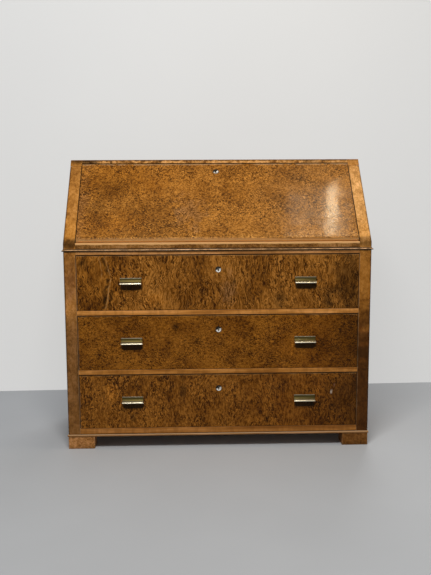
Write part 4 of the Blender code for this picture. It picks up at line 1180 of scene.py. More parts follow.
@dataclass(frozen=True)
class EdgePull:
    """A handle that is pulled by its edge: a flange, a hollow face and a round lip with a bare underside."""

    node: str
    body: str
    middle: Vector  # its middle on the drawer's face
    length: float = 0.0765
    height: float = 0.022
    reach: float = 0.018  # how far it stands out
    sheet: float = 0.0020  # thickness of its metal
    lip: float = 0.0022  # radius of its lip
    web: float = 0.004  # thickness of the metal below the top
    foot: float = 0.006  # lower edge of the flange, above the lip's lowest line
    round: float = 0.0007  # radius of its rounded ends
    rubbed: float = 0.0046  # how far in from its lip it is rubbed bright

    def outline(self) -> Grid:
        """Section, outwards and up from the middle on the drawer's face.

        The face sweeps down and out in a hollow quarter ellipse to the lip, which is most of a circle, and
        the underside follows in a tighter one back to the flange.

        Returns:
            The closed section, as points by two.
        """
        top, bottom = self.height / 2, -self.height / 2
        run, fall = self.reach - self.lip - self.sheet, self.height - 2 * self.lip
        crown = arc((self.sheet - self.round, top - self.round), (self.round, self.round), 90, 0, 6)
        face = arc((self.sheet + run, top - self.round), (-run, self.round - fall), 0, 90, 36)
        lip = arc((self.reach - self.lip, bottom + self.lip), (self.lip, self.lip), 90, -180, 30)
        under_run, under_fall = self.reach - 2 * self.lip - self.sheet, self.height - self.web - self.lip
        under = arc((self.sheet + under_run, top - self.web), (-under_run, -under_fall), 90, 0, 30)
        flange = np.array([(self.sheet, bottom + self.foot), (CLEARANCE, bottom + self.foot), (CLEARANCE, top)])
        return np.concatenate((crown, face[1:], lip[1:], under[1:], flange))[::-1]

    def build(self) -> None:
        """Carry the section along the handle, drawn in at both ends by a quarter circle."""
        turn = np.radians(np.linspace(0, 90, 6))
        inset = self.round * (1 - np.sin(turn))
        along = self.round * (1 - np.cos(turn)) - self.length / 2
        sections = shrunk(self.outline(), np.concatenate((inset, inset[::-1])))
        across = np.concatenate((along, -along[::-1]))[:, None]
        out = np.maximum(sections[..., 0], CLEARANCE)
        grid = set_on(self.middle, (ACROSS, OUTWARD, UPWARD), across, out, sections[..., 1])
        finish = MetalFinish(
            f"{self.node}_brass", (0.95, 0.86, 0.64), (0.070, 0.052, 0.016), 0.30, 0.46, 1.00,
            Panel.of_node(self.node), self.rubbed,
        )
        fit(skin(f"{self.node}_cast", [grid], capped=True), finish.make(), self.body, "aged_brass", self.node)


@dataclass(frozen=True)
class KeyPlate:
    """A dished round plate with an upright keyhole, let into the wood level with its rim."""

    node: str
    body: str
    middle: Vector  # its middle on the wood's face
    up: Vector = UPWARD  # direction up the wood's face
    out: Vector = OUTWARD  # direction out of the wood
    radius: float = 0.011
    rim: float = 0.0015  # width of its rim
    dish: float = 0.0017  # depth of its dish
    thickness: float = 0.0028
    slot_width: float = 0.0044
    slot_height: float = 0.014
    lip: float = 0.0003  # rounding of the keyhole's edge
    bead: float = 0.00045  # height of the rolled rim
    sunk: float = 0.0004  # how deep its lowest line lies
    roughness: float = 0.30

    def build(self) -> None:
        """Draw the plate on circles and angles.

        Along each angle the radius runs from the keyhole's edge, which is the edge of a slot with round
        ends, over a small rounding, across the dish, whose depth falls with the square of the radius, over
        the rolled rim and down its outer edge to the back.
        """
        angle = np.linspace(0, 2 * np.pi, 128, endpoint=False)
        half, straight = self.slot_width / 2, (self.slot_height - self.slot_width) / 2
        sine, cosine = np.abs(np.sin(angle)), np.abs(np.cos(angle))
        end = straight * sine + np.sqrt(np.maximum(half ** 2 - (straight * cosine) ** 2, 0.0))
        inner = np.where(straight * cosine < half * sine, end, half / np.maximum(cosine, 1e-6))
        dish_radius = self.radius - self.rim
        share = np.linspace(0, 1, 18)[:, None]
        across = inner + self.lip + (dish_radius - inner - self.lip) * share
        dished = -self.dish * (1 - (across / dish_radius) ** 2)
        turned = np.radians(np.linspace(0, 80, 4))[:, None]
        mouth = inner + self.lip * (1 - np.cos(turned))
        mouth_level = dished[0] - self.lip * (1 - np.sin(turned)) * 0.8
        roll = np.radians(np.linspace(165, 0, 12))[:, None]
        bead = (dish_radius + self.radius) / 2 + self.rim / 2 * np.cos(roll) + 0 * inner
        bead_level = self.bead * np.sin(roll) - self.sunk + 0 * inner
        back = np.full_like(inner, -self.thickness)
        radii = np.concatenate(([inner], mouth, across, bead, [np.full_like(inner, self.radius)]))
        levels = np.concatenate(([back], mouth_level, dished, bead_level, [back]))
        axes = (ACROSS, self.up, self.out)
        grid = set_on(self.middle, axes, radii * np.cos(angle), radii * np.sin(angle), np.minimum(levels, 0.0))
        panel = Panel.of_node(self.node, Matrix((ACROSS, -self.out, self.up)))
        finish = PlateFinish(f"{self.node}_nickel", panel, roughness=self.roughness)
        fit(skin(f"{self.node}_dished", [grid], wrap_rows=True), finish.make(), self.body, "nickel", self.node)


@dataclass(frozen=True)
class Knob:
    """A turned knob over the small one of the frame."""

    name: str
    body: str
    middle: Vector  # middle of its foot
    radius: float = 0.007
    reach: float = 0.016  # how far it stands out
    neck: float = 0.0035
    foot: float = 0.0056
    over: float = 0.00012  # how much it stands proud of the frame's knob
    bead: float = 0.0008  # half the height of the bead round its foot
    bead_out: float = 0.0003  # how far the bead stands out

    def build(self) -> None:
        """Turn the profile about its axis: a round head, a hollow neck and a flared foot with a bead."""
        head = self.reach - self.radius
        ball = arc((0.0, head), (self.radius + self.over, self.radius + self.over), 90, -52, 26)
        share = np.linspace(0, 1, 14)[1:, None]
        line = ball[-1] + (np.array((self.foot, 2 * self.bead)) - ball[-1]) * share
        line[:, 0] -= np.sin(np.pi * share[:, 0]) * np.maximum(line[:, 0] - self.neck - self.over, 0.0)
        bead = arc((self.foot, self.bead), (self.over + self.bead_out, self.bead), 90, -90, 8)
        out, level = np.concatenate((ball, line, bead)).T[..., None]
        out = np.maximum(out, 1e-5)
        angle = np.linspace(0, 2 * np.pi, 48, endpoint=False)
        grid = set_on(self.middle, (ACROSS, UPWARD, OUTWARD), out * np.cos(angle), out * np.sin(angle), level)
        fit(skin(self.name, [grid], capped=True), Metal.BRASS.material(), self.body, "aged_brass")


@dataclass(frozen=True)
class Screw:
    """A slotted screw's head."""

    place: Vector  # middle of the head on the surface
    up: Vector  # direction of its slot
    out: Vector  # direction that it faces
    radius: float = 0.0026
    dome: float = 0.0006  # height of its dome
    slot: float = 0.13  # half the slot's width, as a share of the radius
    proud: float = 0.0001  # how far its edge stands out
    shank: float = 0.0008  # how far it goes in

    def grid(self) -> Grid:
        """The head as rows across the slot.

        Each row is a chord of the circle, gone along above and back below. Its height is the dome, which
        falls with the square of the radius, less the slot's depth between the two rows at its middle.

        Returns:
            The grid.
        """
        outer = np.sin(np.radians(np.linspace(14, 86, 7)))
        sides = [-self.slot * 1.01, -self.slot, self.slot, self.slot * 1.01]
        across = (np.concatenate((-outer[::-1], sides, outer)) * self.radius)[:, None]
        sunk = np.where(np.abs(across) < self.slot * 1.005 * self.radius, self.dome * 1.2, 0.0)
        along = np.sqrt(self.radius ** 2 - across ** 2) * np.linspace(-1, 1, 13)
        height = self.dome * (1 - (along ** 2 + across ** 2) / self.radius ** 2) - sunk + self.proud
        round_trip = np.concatenate((along, along[:, ::-1]), axis=1)
        levels = np.concatenate((height, np.full_like(height, -self.shank)), axis=1)
        return set_on(self.place, (self.up.cross(self.out), self.up, self.out), across, round_trip, levels)


def drive(name: str, screws: list[Screw], metal: Metal, body: str, slot: str) -> None:
    """Set a row of screws as one piece, of a metal, on a body."""
    fit(skin(name, [screw.grid() for screw in screws], capped=True), metal.material(), body, slot)


@dataclass(frozen=True)
class WaistMoulding:
    """The moulding round the case under the desk: a hollow over a bead."""

    node: str = "waist_moulding"
    level: float = WAIST_LEVEL  # its lower edge
    height: float = 0.008
    reach: float = 0.005  # how far it stands out
    bead: float = 0.0021  # radius of its bead
    tuck: float = 0.0008  # how far the hollow's upper edge stands out

    def build(self) -> None:
        """Carry the section round the case, mitred at its two front corners.

        Each point lies on the path, moved out along the corner's mitre by the section's reach.
        """
        top, low = self.level + self.height, self.level
        bead = arc((self.reach - self.bead, low + self.bead), (self.bead, self.bead), 84, -90, 22)
        depth, rise = bead[0][0] - self.tuck, top - bead[0][1]
        hollow = arc((self.tuck + depth, top), (-depth, -rise), 0, 90, 16)
        section = np.concatenate(([(CLEARANCE, top)], hollow[:-1], bead, [(CLEARANCE, low)]))
        path = np.array([(-HALF_WIDTH, BACK), (-HALF_WIDTH, FRONT), (HALF_WIDTH, FRONT), (HALF_WIDTH, BACK)])
        mitre = np.array([(-1, 0), (-1, -1), (1, -1), (1, 0)])
        flat = path[:, None] + mitre[:, None] * section[None, :, :1]
        levels = np.broadcast_to(section[None, :, 1:], (4, len(section), 1))
        grid = np.concatenate((flat, levels), axis=-1)
        piece = skin(f"{self.node}_profile", [grid], capped=True, crease=30.0)
        # Painted shade in the hollow under the top and beneath the bead.
        lines = (
            Line(Side.TOP, DUST_AND_SHADE_DARK, 0.92, 3.0 * MM, ragged=0.1),
            Line(Side.UNDER, DUST_AND_SHADE_DARK, 0.97, 4.0 * MM, ragged=0.05),
        )
        wood = Straight(BEAD_WOOD, Run.ACROSS, 25.0, bands=40.0)
        finish = WoodFinish("waist_bead", Panel.of_node(self.node), wood, lines=lines)
        fit(piece, finish.make(), "case", "edge_veneer", self.node)


# Woods of the chest

FALL_WOOD = Tone.around((0.232, 0.0795, 0.0058), 0.22, 2.08)
FALL_INSIDE = Tone.around((0.36, 0.175, 0.050), 0.62, 1.35)
FALL_CORE = Tone.around((0.40, 0.185, 0.045), 0.6, 1.3)
DRAWER_WOOD = Tone.around((0.196, 0.0655, 0.0050), 0.18, 2.15)
MIDDLE_WOOD = Tone.around((0.168, 0.0522, 0.0024), 0.21, 2.10)
LOWER_WOOD = Tone.around((0.160, 0.0505, 0.0031), 0.21, 2.10)
SMALL_WOOD = Tone.around((0.40, 0.185, 0.050), 0.5, 1.4)
STILE_WOOD = Tone.around((0.360, 0.148, 0.026), 0.60, 1.35)
SIDE_WOOD = Tone.around((0.270, 0.112, 0.024), 0.55, 1.45)
RAIL_WOOD = Tone.around((0.562, 0.238, 0.052), 0.60, 1.30)
BAND_WOOD = Tone.around((0.250, 0.104, 0.020), 0.45, 1.60)
SLOPE_RAIL_WOOD = Tone.around((0.530, 0.245, 0.060), 0.32, 1.40)
FOOT_WOOD = Tone.around((0.330, 0.145, 0.040), 0.55, 1.50)
BEAD_WOOD = Tone.around((0.820, 0.480, 0.220), 0.70, 1.20)
BIRCH = Tone.around((0.500, 0.310, 0.140), 0.72, 1.20)
PINE = Tone.around((0.470, 0.290, 0.135), 0.66, 1.22)
OLD_PINE = Tone.around((0.300, 0.190, 0.095), 0.60, 1.30)
GLUE = Tone.around((0.060, 0.030, 0.012), 0.70, 1.20)
# Painted shade and dust: the dark of the gaps round the fall and the drawers, of the shade under the rails, the
# mouldings and the desk's band, and of the stiles' rounded arrises.
DUST_AND_SHADE_DARK: Colour = (0.030, 0.014, 0.005)
PALE_EDGE: Colour = (0.470, 0.300, 0.160)
VEIN_PALE: Colour = (0.420, 0.220, 0.075)
# A lipping's pale wood, made paler still as a painted highlight along the desk's edge.
LIPPING_AND_SHEEN: Colour = (0.800, 0.440, 0.170)
BARED: Colour = (0.90, 0.82, 0.76)
BRUISE: Colour = (0.50, 0.26, 0.20)


# Sub-assemblies


@dataclass(frozen=True)
class Carcass:
    """The case: sides, stiles, boards, rails, mouldings, base, feet and back."""

    outer_round: float = 4.5 * MM  # width of the painted shade on the stiles' rounded outer arrises
    side_veneer: float = 3.0 * MM
    rail_veneer: float = 2.0 * MM
    crossband: float = 23.5 * MM  # depth of the cross-banding of the top board's front
    banding: float = 6.0 * MM  # depth of the banding of the desk board's edge
    back_board: float = 0.176  # width of one board of the back
    glue_start: float = 0.075  # where the glue under the top board begins
    glue_below: float = 0.4 * MM  # how far it laps the side
    glue_above: float = 0.8 * MM  # how far it laps the top board
    back_screws: int = 12  # screws in each row of the back
    screw_inset: float = 0.014  # from the back's edges to its outer rows of screws
    screw_rise: float = 0.16  # middle row of screws above the back's middle
    screw_turn: float = 0.9  # how far each screw is turned past the one before it, in radians
    screw_sunk: float = 0.4 * MM
    screw_radius: float = 3.4 * MM
    screw_dome: float = 0.3 * MM

    def build(self) -> None:
        """Dress every part of the case."""
        self.dress_stiles()
        self.dress_sides()
        self.dress_top()
        self.dress_desk()
        self.close_joints()
        self.dress_rails()
        WaistMoulding().build()
        self.dress_base()
        self.dress_back()

    def dress_stiles(self) -> None:
        """Stiles: plain veneer that follows the bend, with painted shade on the rounded outer arrises and under
        the waist moulding, and a light inner line.
        """
        # Partly the veneer's own tone and partly painted light: the stiles are darker towards the floor, the
        # right one most, and the right one's slope is paler and bluer, a painted sheen.
        left_marks = (
            Cloud(0.5, 0.31, 3.0, 0.42, 1.0, 0.1, (0.78, 0.79, 1.05), 0.85),
            Cloud(0.5, 0.0, 3.0, 0.48, -0.20, 0.1, core=0.7),
            Cloud(0.5, 0.62, 3.0, 0.24, 1.0, 0.1, (1.20, 1.18, 1.0), 0.6),
            Cloud(0.5, 0.57, 0.6, 0.10, 0.8, 0.6, (0.84, 0.82, 1.15)),
            Cloud(0.2, 0.49, 0.9, 0.05, 0.35, 0.5),
            Cloud(1.0, 0.22, 0.28, 0.28, -0.42, 0.3),
            Cloud(0.5, 0.92, 3.0, 0.18, 0.12, 0.1, core=0.4),
            Cloud(0.5, 0.722, 1.2, 0.024, -0.70, 0.3, core=0.3, square=True),
        )
        right_marks = (
            Cloud(0.5, 0.0, 3.0, 0.53, 1.0, 0.12, (0.205, 0.155, 0.10), 0.72),
            Cloud(0.5, 0.30, 3.0, 0.05, -0.40, 0.2),
            Cloud(0.5, 0.60, 3.0, 0.26, 0.9, 0.1, (0.92, 0.84, 0.62), 0.6),
            Cloud(0.5, 0.39, 0.9, 0.020, 0.9, 0.3),
            Cloud(0.5, 0.335, 0.9, 0.012, 0.7, 0.3),
            Cloud(0.5, 0.275, 0.9, 0.015, 0.7, 0.3),
            Cloud(0.5, 0.90, 3.0, 0.25, 1.0, 0.1, (1.75, 2.10, 3.40), 0.5),
            Cloud(0.5, 0.725, 3.0, 0.025, -0.50, 0.15, core=0.5),
        )
        hands = (
            ("stile_left", Side.LEFT, Side.RIGHT, 2.0, left_marks),
            ("stile_right", Side.RIGHT, Side.LEFT, 9.0, right_marks),
        )
        for node, outer, inner, seed, marks in hands:
            panel = Panel.of_node(node, slope_above=DESK_LEVEL)
            wood = Burr(
                STILE_WOOD, seed, stretch=1.6, bend=0.010, stroke_scale=80.0, strokes=0.35, mottle=0.45,
                clouding=0.55, cloud_scale=24.0,
            )
            below_top = panel.half.z + panel.middle.z - WAIST_LEVEL
            lines = (
                Line(outer, DUST_AND_SHADE_DARK, 0.55, self.outer_round),
                Line(Side.TOP, DUST_AND_SHADE_DARK, 0.80, 2.4 * MM, below_top, ragged=0.1),
                Line(inner, PALE_EDGE, 0.30, 1.6 * MM, broken=0.3, reach=(-0.1, 0.68)),
                Line(inner, DUST_AND_SHADE_DARK, 0.85, 1.4 * MM, ragged=0.15, reach=(0.723, 1.5)),
            )
            veneer(node, f"{node}_veneer", wood, panel, marks=marks, lines=lines)

    def dress_sides(self) -> None:
        """Side panels: veneer outside, pine within."""
        for node, outer, seed in (("side_panel_left", Side.LEFT, 4.0), ("side_panel_right", Side.RIGHT, 6.0)):
            plain = Straight(SIDE_WOOD, Run.UP, seed, bands=16.0, ripple=0.30, fibre=0.25, waver=0.05)
            zones = (Zone(outer, plain, depth=self.side_veneer),)
            core = Straight(PINE, Run.UP, seed + 0.5, bands=26.0)
            veneer(node, f"{node}_veneer", core, zones=zones, wear=0.3, varnish=SATIN)

    def close_joints(self) -> None:
        """Glue lines between the top board and the sides, which stop the light that would pass under it."""
        low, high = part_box("side_panel_left")
        wood, panel = Straight(GLUE, Run.DEEP), Panel.of_node("top_board")
        glue = WoodFinish("glue_line", panel, wood, varnish=BARE).make()
        level = high.z + np.array([-self.glue_below] * 2 + [self.glue_above] * 2)
        depth = np.array([self.glue_start, high.y - 2 * MM])[:, None]
        for hand, side in HANDS:
            across = side * (abs(high.x) + MM + np.array([0.0, 1.0, 1.0, 0.0]) * (high.x - low.x - 2 * MM))
            grid = np.stack(np.broadcast_arrays(across, depth, level), axis=-1)
            fit(skin(f"top_glue_{hand}", [grid], capped=True), glue, "case", "pine")

    def dress_top(self) -> None:
        """Top board: veneer, cross-banding on its sloping front and the stiles' wood at its ends."""
        across = Straight(SIDE_WOOD, Run.ACROSS, 11.0, bands=18.0, ripple=0.25, waver=0.04)
        crossband = Straight(SLOPE_RAIL_WOOD, Run.UP, 12.0, bands=70.0, fibre=0.75, ripple=0.30)
        corner = Burr(STILE_WOOD, 13.0, stretch=1.6, stroke_scale=80.0, strokes=0.35, mottle=0.45)
        # Painted shade along the crossband's lower edge, over the fall; a dark top edge and stains.
        edge = (
            Line(Side.TOP, DUST_AND_SHADE_DARK, 0.80, 4.0 * MM),
            Line(Side.UNDER, DUST_AND_SHADE_DARK, 0.95, 2.8 * MM, 30.5 * MM, ragged=0.1),
            Cloud(0.064, 0.8, 0.034, 3.0, -0.70, 0.3, core=0.6),
            Cloud(0.139, 0.75, 0.006, 0.25, -0.6),
            Cloud(0.30, 0.8, 0.012, 0.2, -0.5),
            Cloud(0.84, 0.8, 0.05, 0.3, -0.35, 0.8),
        )
        zones = (
            Zone(Side.FRONT, crossband, edge, self.crossband),
            Zone(Side.LEFT, corner, (Cloud(0.02, 1.0, 0.05, 0.42, -0.80, 0.2),), HALF_WIDTH - STILE_INNER),
            Zone(Side.RIGHT, corner, (Cloud(0.98, 1.0, 0.06, 0.20, -0.35, 0.2),), HALF_WIDTH - STILE_INNER),
            Zone(Side.REAR, Straight(OLD_PINE, Run.ACROSS, 4.0)),
            Zone(Side.TOP, across),
            Zone(Side.UNDER, Straight(PINE, Run.ACROSS, 3.0)),
        )
        veneer("top_board", "top_veneer", across, zones=zones)

    def dress_desk(self) -> None:
        """Desk board with a lipped and banded edge, writing bed and bottom board."""
        across = Straight(SIDE_WOOD, Run.ACROSS, 11.0, bands=18.0, ripple=0.25, waver=0.04)
        banding = Burr(BAND_WOOD, 14.0, stretch=0.9, stroke_scale=105.0, clouding=0.6, cloud_scale=14.0)
        # The pale lipping is partly painted highlight; the dark under the band is painted shade.
        edge = (
            Line(Side.TOP, LIPPING_AND_SHEEN, 0.85, 5.8 * MM, ragged=0.10),
            Line(Side.UNDER, DUST_AND_SHADE_DARK, 0.85, 2.0 * MM, ragged=0.2),
        )
        zones = (
            Zone(Side.TOP, across, (Line(Side.FRONT, LIPPING_AND_SHEEN, 0.95, 30.0 * MM, ragged=0.02),)),
            Zone(Side.FRONT, banding, edge, self.banding),
        )
        veneer("desk_board", "desk_veneer", Straight(PINE, Run.ACROSS, 5.0), zones=zones)
        bed = Straight(FALL_INSIDE, Run.ACROSS, 16.0, bands=20.0, ripple=0.15, waver=0.03)
        veneer("writing_bed", "bed_veneer", bed, wear=0.35, varnish=SATIN)
        floor = Straight(PINE, Run.ACROSS, 17.0, bands=22.0)
        veneer("bottom_board", "bottom_pine", floor, wear=0.25, varnish=BARE)

    def dress_rails(self) -> None:
        """Rails: light straight veneer with a light upper arris and painted shade along the lower edge. The top
        one has a painted shadow's line too.
        """
        # Painted shade: the factors make each lower rail darker, as less light reaches it.
        shades = (
            ("top_rail", (1.0, 1.06, 1.45), 21.0), ("upper_rail", (1.07, 1.04, 1.0), 22.0),
            ("lower_rail", (0.83, 0.78, 0.66), 23.0), ("bottom_rail", (0.735, 0.68, 0.62), 24.0),
        )
        edges = (
            Line(Side.TOP, PALE_EDGE, 0.40, 1.4 * MM, broken=0.2),
            Line(Side.UNDER, DUST_AND_SHADE_DARK, 0.92, 2.2 * MM, ragged=0.05),
        )
        shadow = (Line(Side.TOP, DUST_AND_SHADE_DARK, 0.95, 2.0 * MM, 7.5 * MM, ragged=0.05),)
        for node, shade, seed in shades:
            plain = Straight(RAIL_WOOD.shaded(shade), Run.ACROSS, seed, bands=60.0, fibre=0.28, ripple=0.30)
            veneer(
                node, f"{node}_veneer", Straight(PINE, Run.ACROSS, seed + 0.5),
                zones=(Zone(Side.FRONT, plain, depth=self.rail_veneer),),
                lines=edges + shadow if node == "top_rail" else edges,
            )

    def dress_base(self) -> None:
        """Base frame and feet."""
        wood = Straight(FOOT_WOOD, Run.ACROSS, 26.0, bands=50.0)
        pale = (Line(Side.TOP, PALE_EDGE, 0.75, 3.0 * MM, ragged=0.1),)
        veneer("base_frame", "base_veneer", wood, lines=pale, wear=0.3, varnish=SATIN)
        feet = ("foot_front_left", "foot_front_right", "foot_back_left", "foot_back_right")
        for seed, node in enumerate(feet, 30):
            # Painted light and shade: the right feet are darker and the left ones paler; each foot is darker
            # towards the bottom.
            tint = (0.58, 0.50, 0.35) if node.endswith("right") else (1.37, 1.34, 1.3)
            marks = (Cloud(0.5, 0.0, 1.2, 0.35, -0.35), Cloud(0.5, 0.5, 3.0, 3.0, 1.0, 0.1, tint))
            wood = Burr(FOOT_WOOD, float(seed), stroke_scale=85.0, bend=0.01)
            veneer(node, f"{node}_burr", wood, marks=marks, wear=0.3, varnish=SATIN)

    def dress_back(self) -> None:
        """Back of pine boards, with rows of screws along its edges and across its middle."""
        wood = Straight(OLD_PINE, Run.UP, 31.0, bands=24.0, board_width=self.back_board, waver=0.03)
        marks = (
            Cloud(0.3, 0.1, 0.5, 0.15, -0.35),
            Cloud(0.8, 0.9, 0.4, 0.2, 0.2),
            Cloud(0.5, 0.5, 0.3, 0.3, -0.15),
        )
        veneer("back_panel", "back_pine", wood, marks=marks, wear=0.2, varnish=BARE)
        low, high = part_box("back_panel")
        levels = (low.z + self.screw_inset, (low.z + high.z) / 2 + self.screw_rise, high.z - self.screw_inset)
        screws = []
        for number in range(self.back_screws):
            across = low.x + (high.x - low.x) * (number + 0.5) / self.back_screws
            angle = self.screw_turn * number
            up = Vector((math.sin(angle), 0.0, math.cos(angle)))
            places = (Vector((across, high.y - self.screw_sunk, level)) for level in levels)
            screws += [Screw(place, up, -OUTWARD, self.screw_radius, self.screw_dome) for place in places]
        drive("back_screws", screws, Metal.STEEL, "case", "steel")


@dataclass(frozen=True)
class Fall:
    """The fall with its lock, its key plate and the brackets of its stays."""

    key_up: float = 0.33947  # keyhole's place up the slope from the desk

    def build(self) -> None:
        """Dress the board and fit its hardware."""
        burr = Burr(
            FALL_WOOD, 1.0, stretch=0.85, bend=0.010, stroke_scale=112.0, strokes=1.0, glints=1.0, mottle=0.66,
            clouding=0.32, cloud_scale=9.0,
        )
        # Mostly the burr's own tone; the pale bluish patches, near the left edge, at the lower left, along the
        # bottom and round the right, are painted sheen, and the bright patch at the lower right a painted
        # highlight.
        marks = (
            Cloud(0.13, 0.70, 0.09, 0.26, -0.26),
            Cloud(0.13, 0.78, 0.30, 0.36, 0.95, 0.4, (0.88, 0.80, 0.50)),
            Cloud(0.07, 0.35, 0.06, 0.30, -0.18),
            Cloud(0.40, 0.35, 0.07, 0.24, 0.7, 0.8, (1.0, 1.15, 2.6)),
            Cloud(0.10, 0.22, 0.20, 0.22, 0.7, 0.6, (1.03, 0.92, 0.55)),
            Cloud(0.0, 0.4, 0.05, 0.7, 0.8, 0.8, (0.92, 1.00, 2.0)),
            Cloud(0.20, 0.25, 0.28, 0.35, -0.14),
            Cloud(0.84, 0.50, 0.24, 0.70, 0.8, 0.4, (0.80, 0.84, 1.2)),
            Cloud(0.55, 0.0, 0.75, 0.10, 0.8, 0.4, (1.20, 1.32, 1.7)),
            Cloud(0.88, 0.06, 0.16, 0.14, 0.8, 0.4, (1.35, 1.48, 2.2)),
            Vein(0.502, 0.90, 0.995, 1.2 * MM, -0.75, 0.004, 0.25),
        )
        # Painted shade in the gaps at its top and sides; the paler lower edge is partly a light lipping and
        # partly painted light on the nose that faces down.
        lines = (
            Line(Side.TOP, PALE_EDGE, 0.45, 5.0 * MM, 2.0 * MM, 0.35),
            Line(Side.TOP, DUST_AND_SHADE_DARK, 0.92, 2.4 * MM, ragged=0.1),
            Line(Side.LEFT, DUST_AND_SHADE_DARK, 0.85, 1.2 * MM, ragged=0.1),
            Line(Side.RIGHT, DUST_AND_SHADE_DARK, 0.85, 1.2 * MM, ragged=0.1),
            Line(Side.UNDER, (0.36, 0.17, 0.055), 0.50, 6.0 * MM),
            Line(Side.UNDER, (0.44, 0.25, 0.09), 0.70, 3.4 * MM, ragged=0.15),
            Line(Side.UNDER, (0.62, 0.40, 0.17), 0.85, 1.8 * MM, ragged=0.10),
        )
        inside = Straight(FALL_INSIDE, Run.ACROSS, 41.0, bands=20.0, ripple=0.18, waver=0.04)
        core, panel = Straight(FALL_CORE, Run.ACROSS, 42.0), Panel.of_node("fall_panel", SLOPE_TURN)
        zones = (Zone(Side.REAR, inside), Zone(Side.FRONT, burr, marks))
        veneer("fall_panel", "fall_burr_veneer", core, panel, zones=zones, lines=lines, varnish=GLOSSY)
        middle = Vector((0.0, FRONT, DESK_LEVEL)) + SLOPE_UP * self.key_up
        KeyPlate("fall_escutcheon", "fall", middle, SLOPE_UP, SLOPE_OUT, roughness=0.55).build()
        dress(Metal.STEEL.material(), "fall_lock")
        dress(Metal.BRASS.material(), "fall_lock_bolt", "stay_bracket_left", "stay_bracket_right")


@dataclass(frozen=True)
class LongDrawer:
    """A long drawer: burr front, pine box, handles, key plate, lock and bolt."""

    name: str
    top: float  # level of the top of its opening
    burr: Burr
    marks: tuple[Mark, ...]
    seed: float  # which stretch of pine its box shows
    spread: float = 0.3135  # from the chest's centre to a handle's centre
    handle_drop: float = 0.093  # handle's centre below the opening's top
    key_drop: float = 0.054  # keyhole below the opening's top
    back_wall: float = 13.0 * MM
    shadow_drop: float = 0.022  # middle of the painted shadow below a handle's
    grime_shift: float = 0.002  # how far it lies to the right, as a share of the front
    # Painted shade in the gaps round the front, with pale upper and left arrises.
    edges: tuple[Line, ...] = (
        Line(Side.TOP, DUST_AND_SHADE_DARK, 0.92, 1.0 * MM, ragged=0.15),
        Line(Side.TOP, (0.42, 0.22, 0.08), 0.45, 2.2 * MM, 1.0 * MM, 0.45),
        Line(Side.LEFT, (0.36, 0.20, 0.11), 0.50, 1.5 * MM, 0.7 * MM, 0.4),
        Line(Side.LEFT, DUST_AND_SHADE_DARK, 0.85, 0.7 * MM, ragged=0.1),
        Line(Side.RIGHT, DUST_AND_SHADE_DARK, 0.60, 1.2 * MM),
        Line(Side.UNDER, DUST_AND_SHADE_DARK, 0.70, 1.5 * MM),
    )

    def handle_shadows(self) -> tuple[Cloud, ...]:
        """Painted shadows that the pulls cast on the wood below them.

        Returns:
            One patch for each pull.
        """
        low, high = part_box(f"{self.name}_drawer_front")
        up = (self.top - self.handle_drop - self.shadow_drop - low.z) / (high.z - low.z)
        step = self.spread / (high.x - low.x)
        places = [0.5 + self.grime_shift + side * step for _, side in HANDS]
        return tuple(Cloud(across, up, 0.040, 0.064, -0.86, 0.03, core=0.84, square=True) for across in places)

    def build(self) -> None:
        """Dress the wood and fit the hardware."""
        node = f"{self.name}_drawer"
        rows = ((Run.ACROSS, 30.0), (Run.DEEP, 34.0), (Run.ACROSS, 34.0), (Run.ACROSS, 20.0))
        front, sides, back, floor = (
            Straight(PINE, run, self.seed + step, bands=bands) for step, (run, bands) in enumerate(rows)
        )
        marks = self.marks + self.handle_shadows() + self.edges
        veneer(f"{node}_front", f"{node}_burr_veneer", front, zones=(Zone(Side.FRONT, self.burr, marks),))
        zones = (Zone(Side.REAR, back, depth=self.back_wall),)
        veneer(f"{node}_box", f"{node}_box_pine", sides, zones=zones, wear=0.2, varnish=BARE)
        veneer(f"{node}_bottom", f"{node}_bottom_pine", floor, wear=0.25, varnish=BARE)
        for hand, side in HANDS:
            middle = Vector((side * self.spread, DRAWER_FACE, self.top - self.handle_drop))
            EdgePull(f"{node}_handle_{hand}", node, middle).build()
        KeyPlate(f"{node}_escutcheon", node, Vector((0.0, DRAWER_FACE, self.top - self.key_drop))).build()
        dress(Metal.STEEL.material(), f"{node}_lock")
        dress(Metal.BRASS.material(), f"{node}_lock_bolt")
        self.screw_lock()

    def screw_lock(self) -> None:
        """Four screws in the lock's case, in from its corners and clear of its thicker top."""
        node = f"{self.name}_drawer"
        low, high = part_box(f"{node}_lock")
        screws = [
            Screw(Vector((across, high.y, low.z + up)), Vector((0.6, 0, 0.8)), -OUTWARD, 2.2 * MM)
            for across in (low.x + 6 * MM, high.x - 6 * MM) for up in (7 * MM, high.z - low.z - 12 * MM)
        ]
        drive(f"{node}_lock_screws", screws, Metal.STEEL, node, "steel")


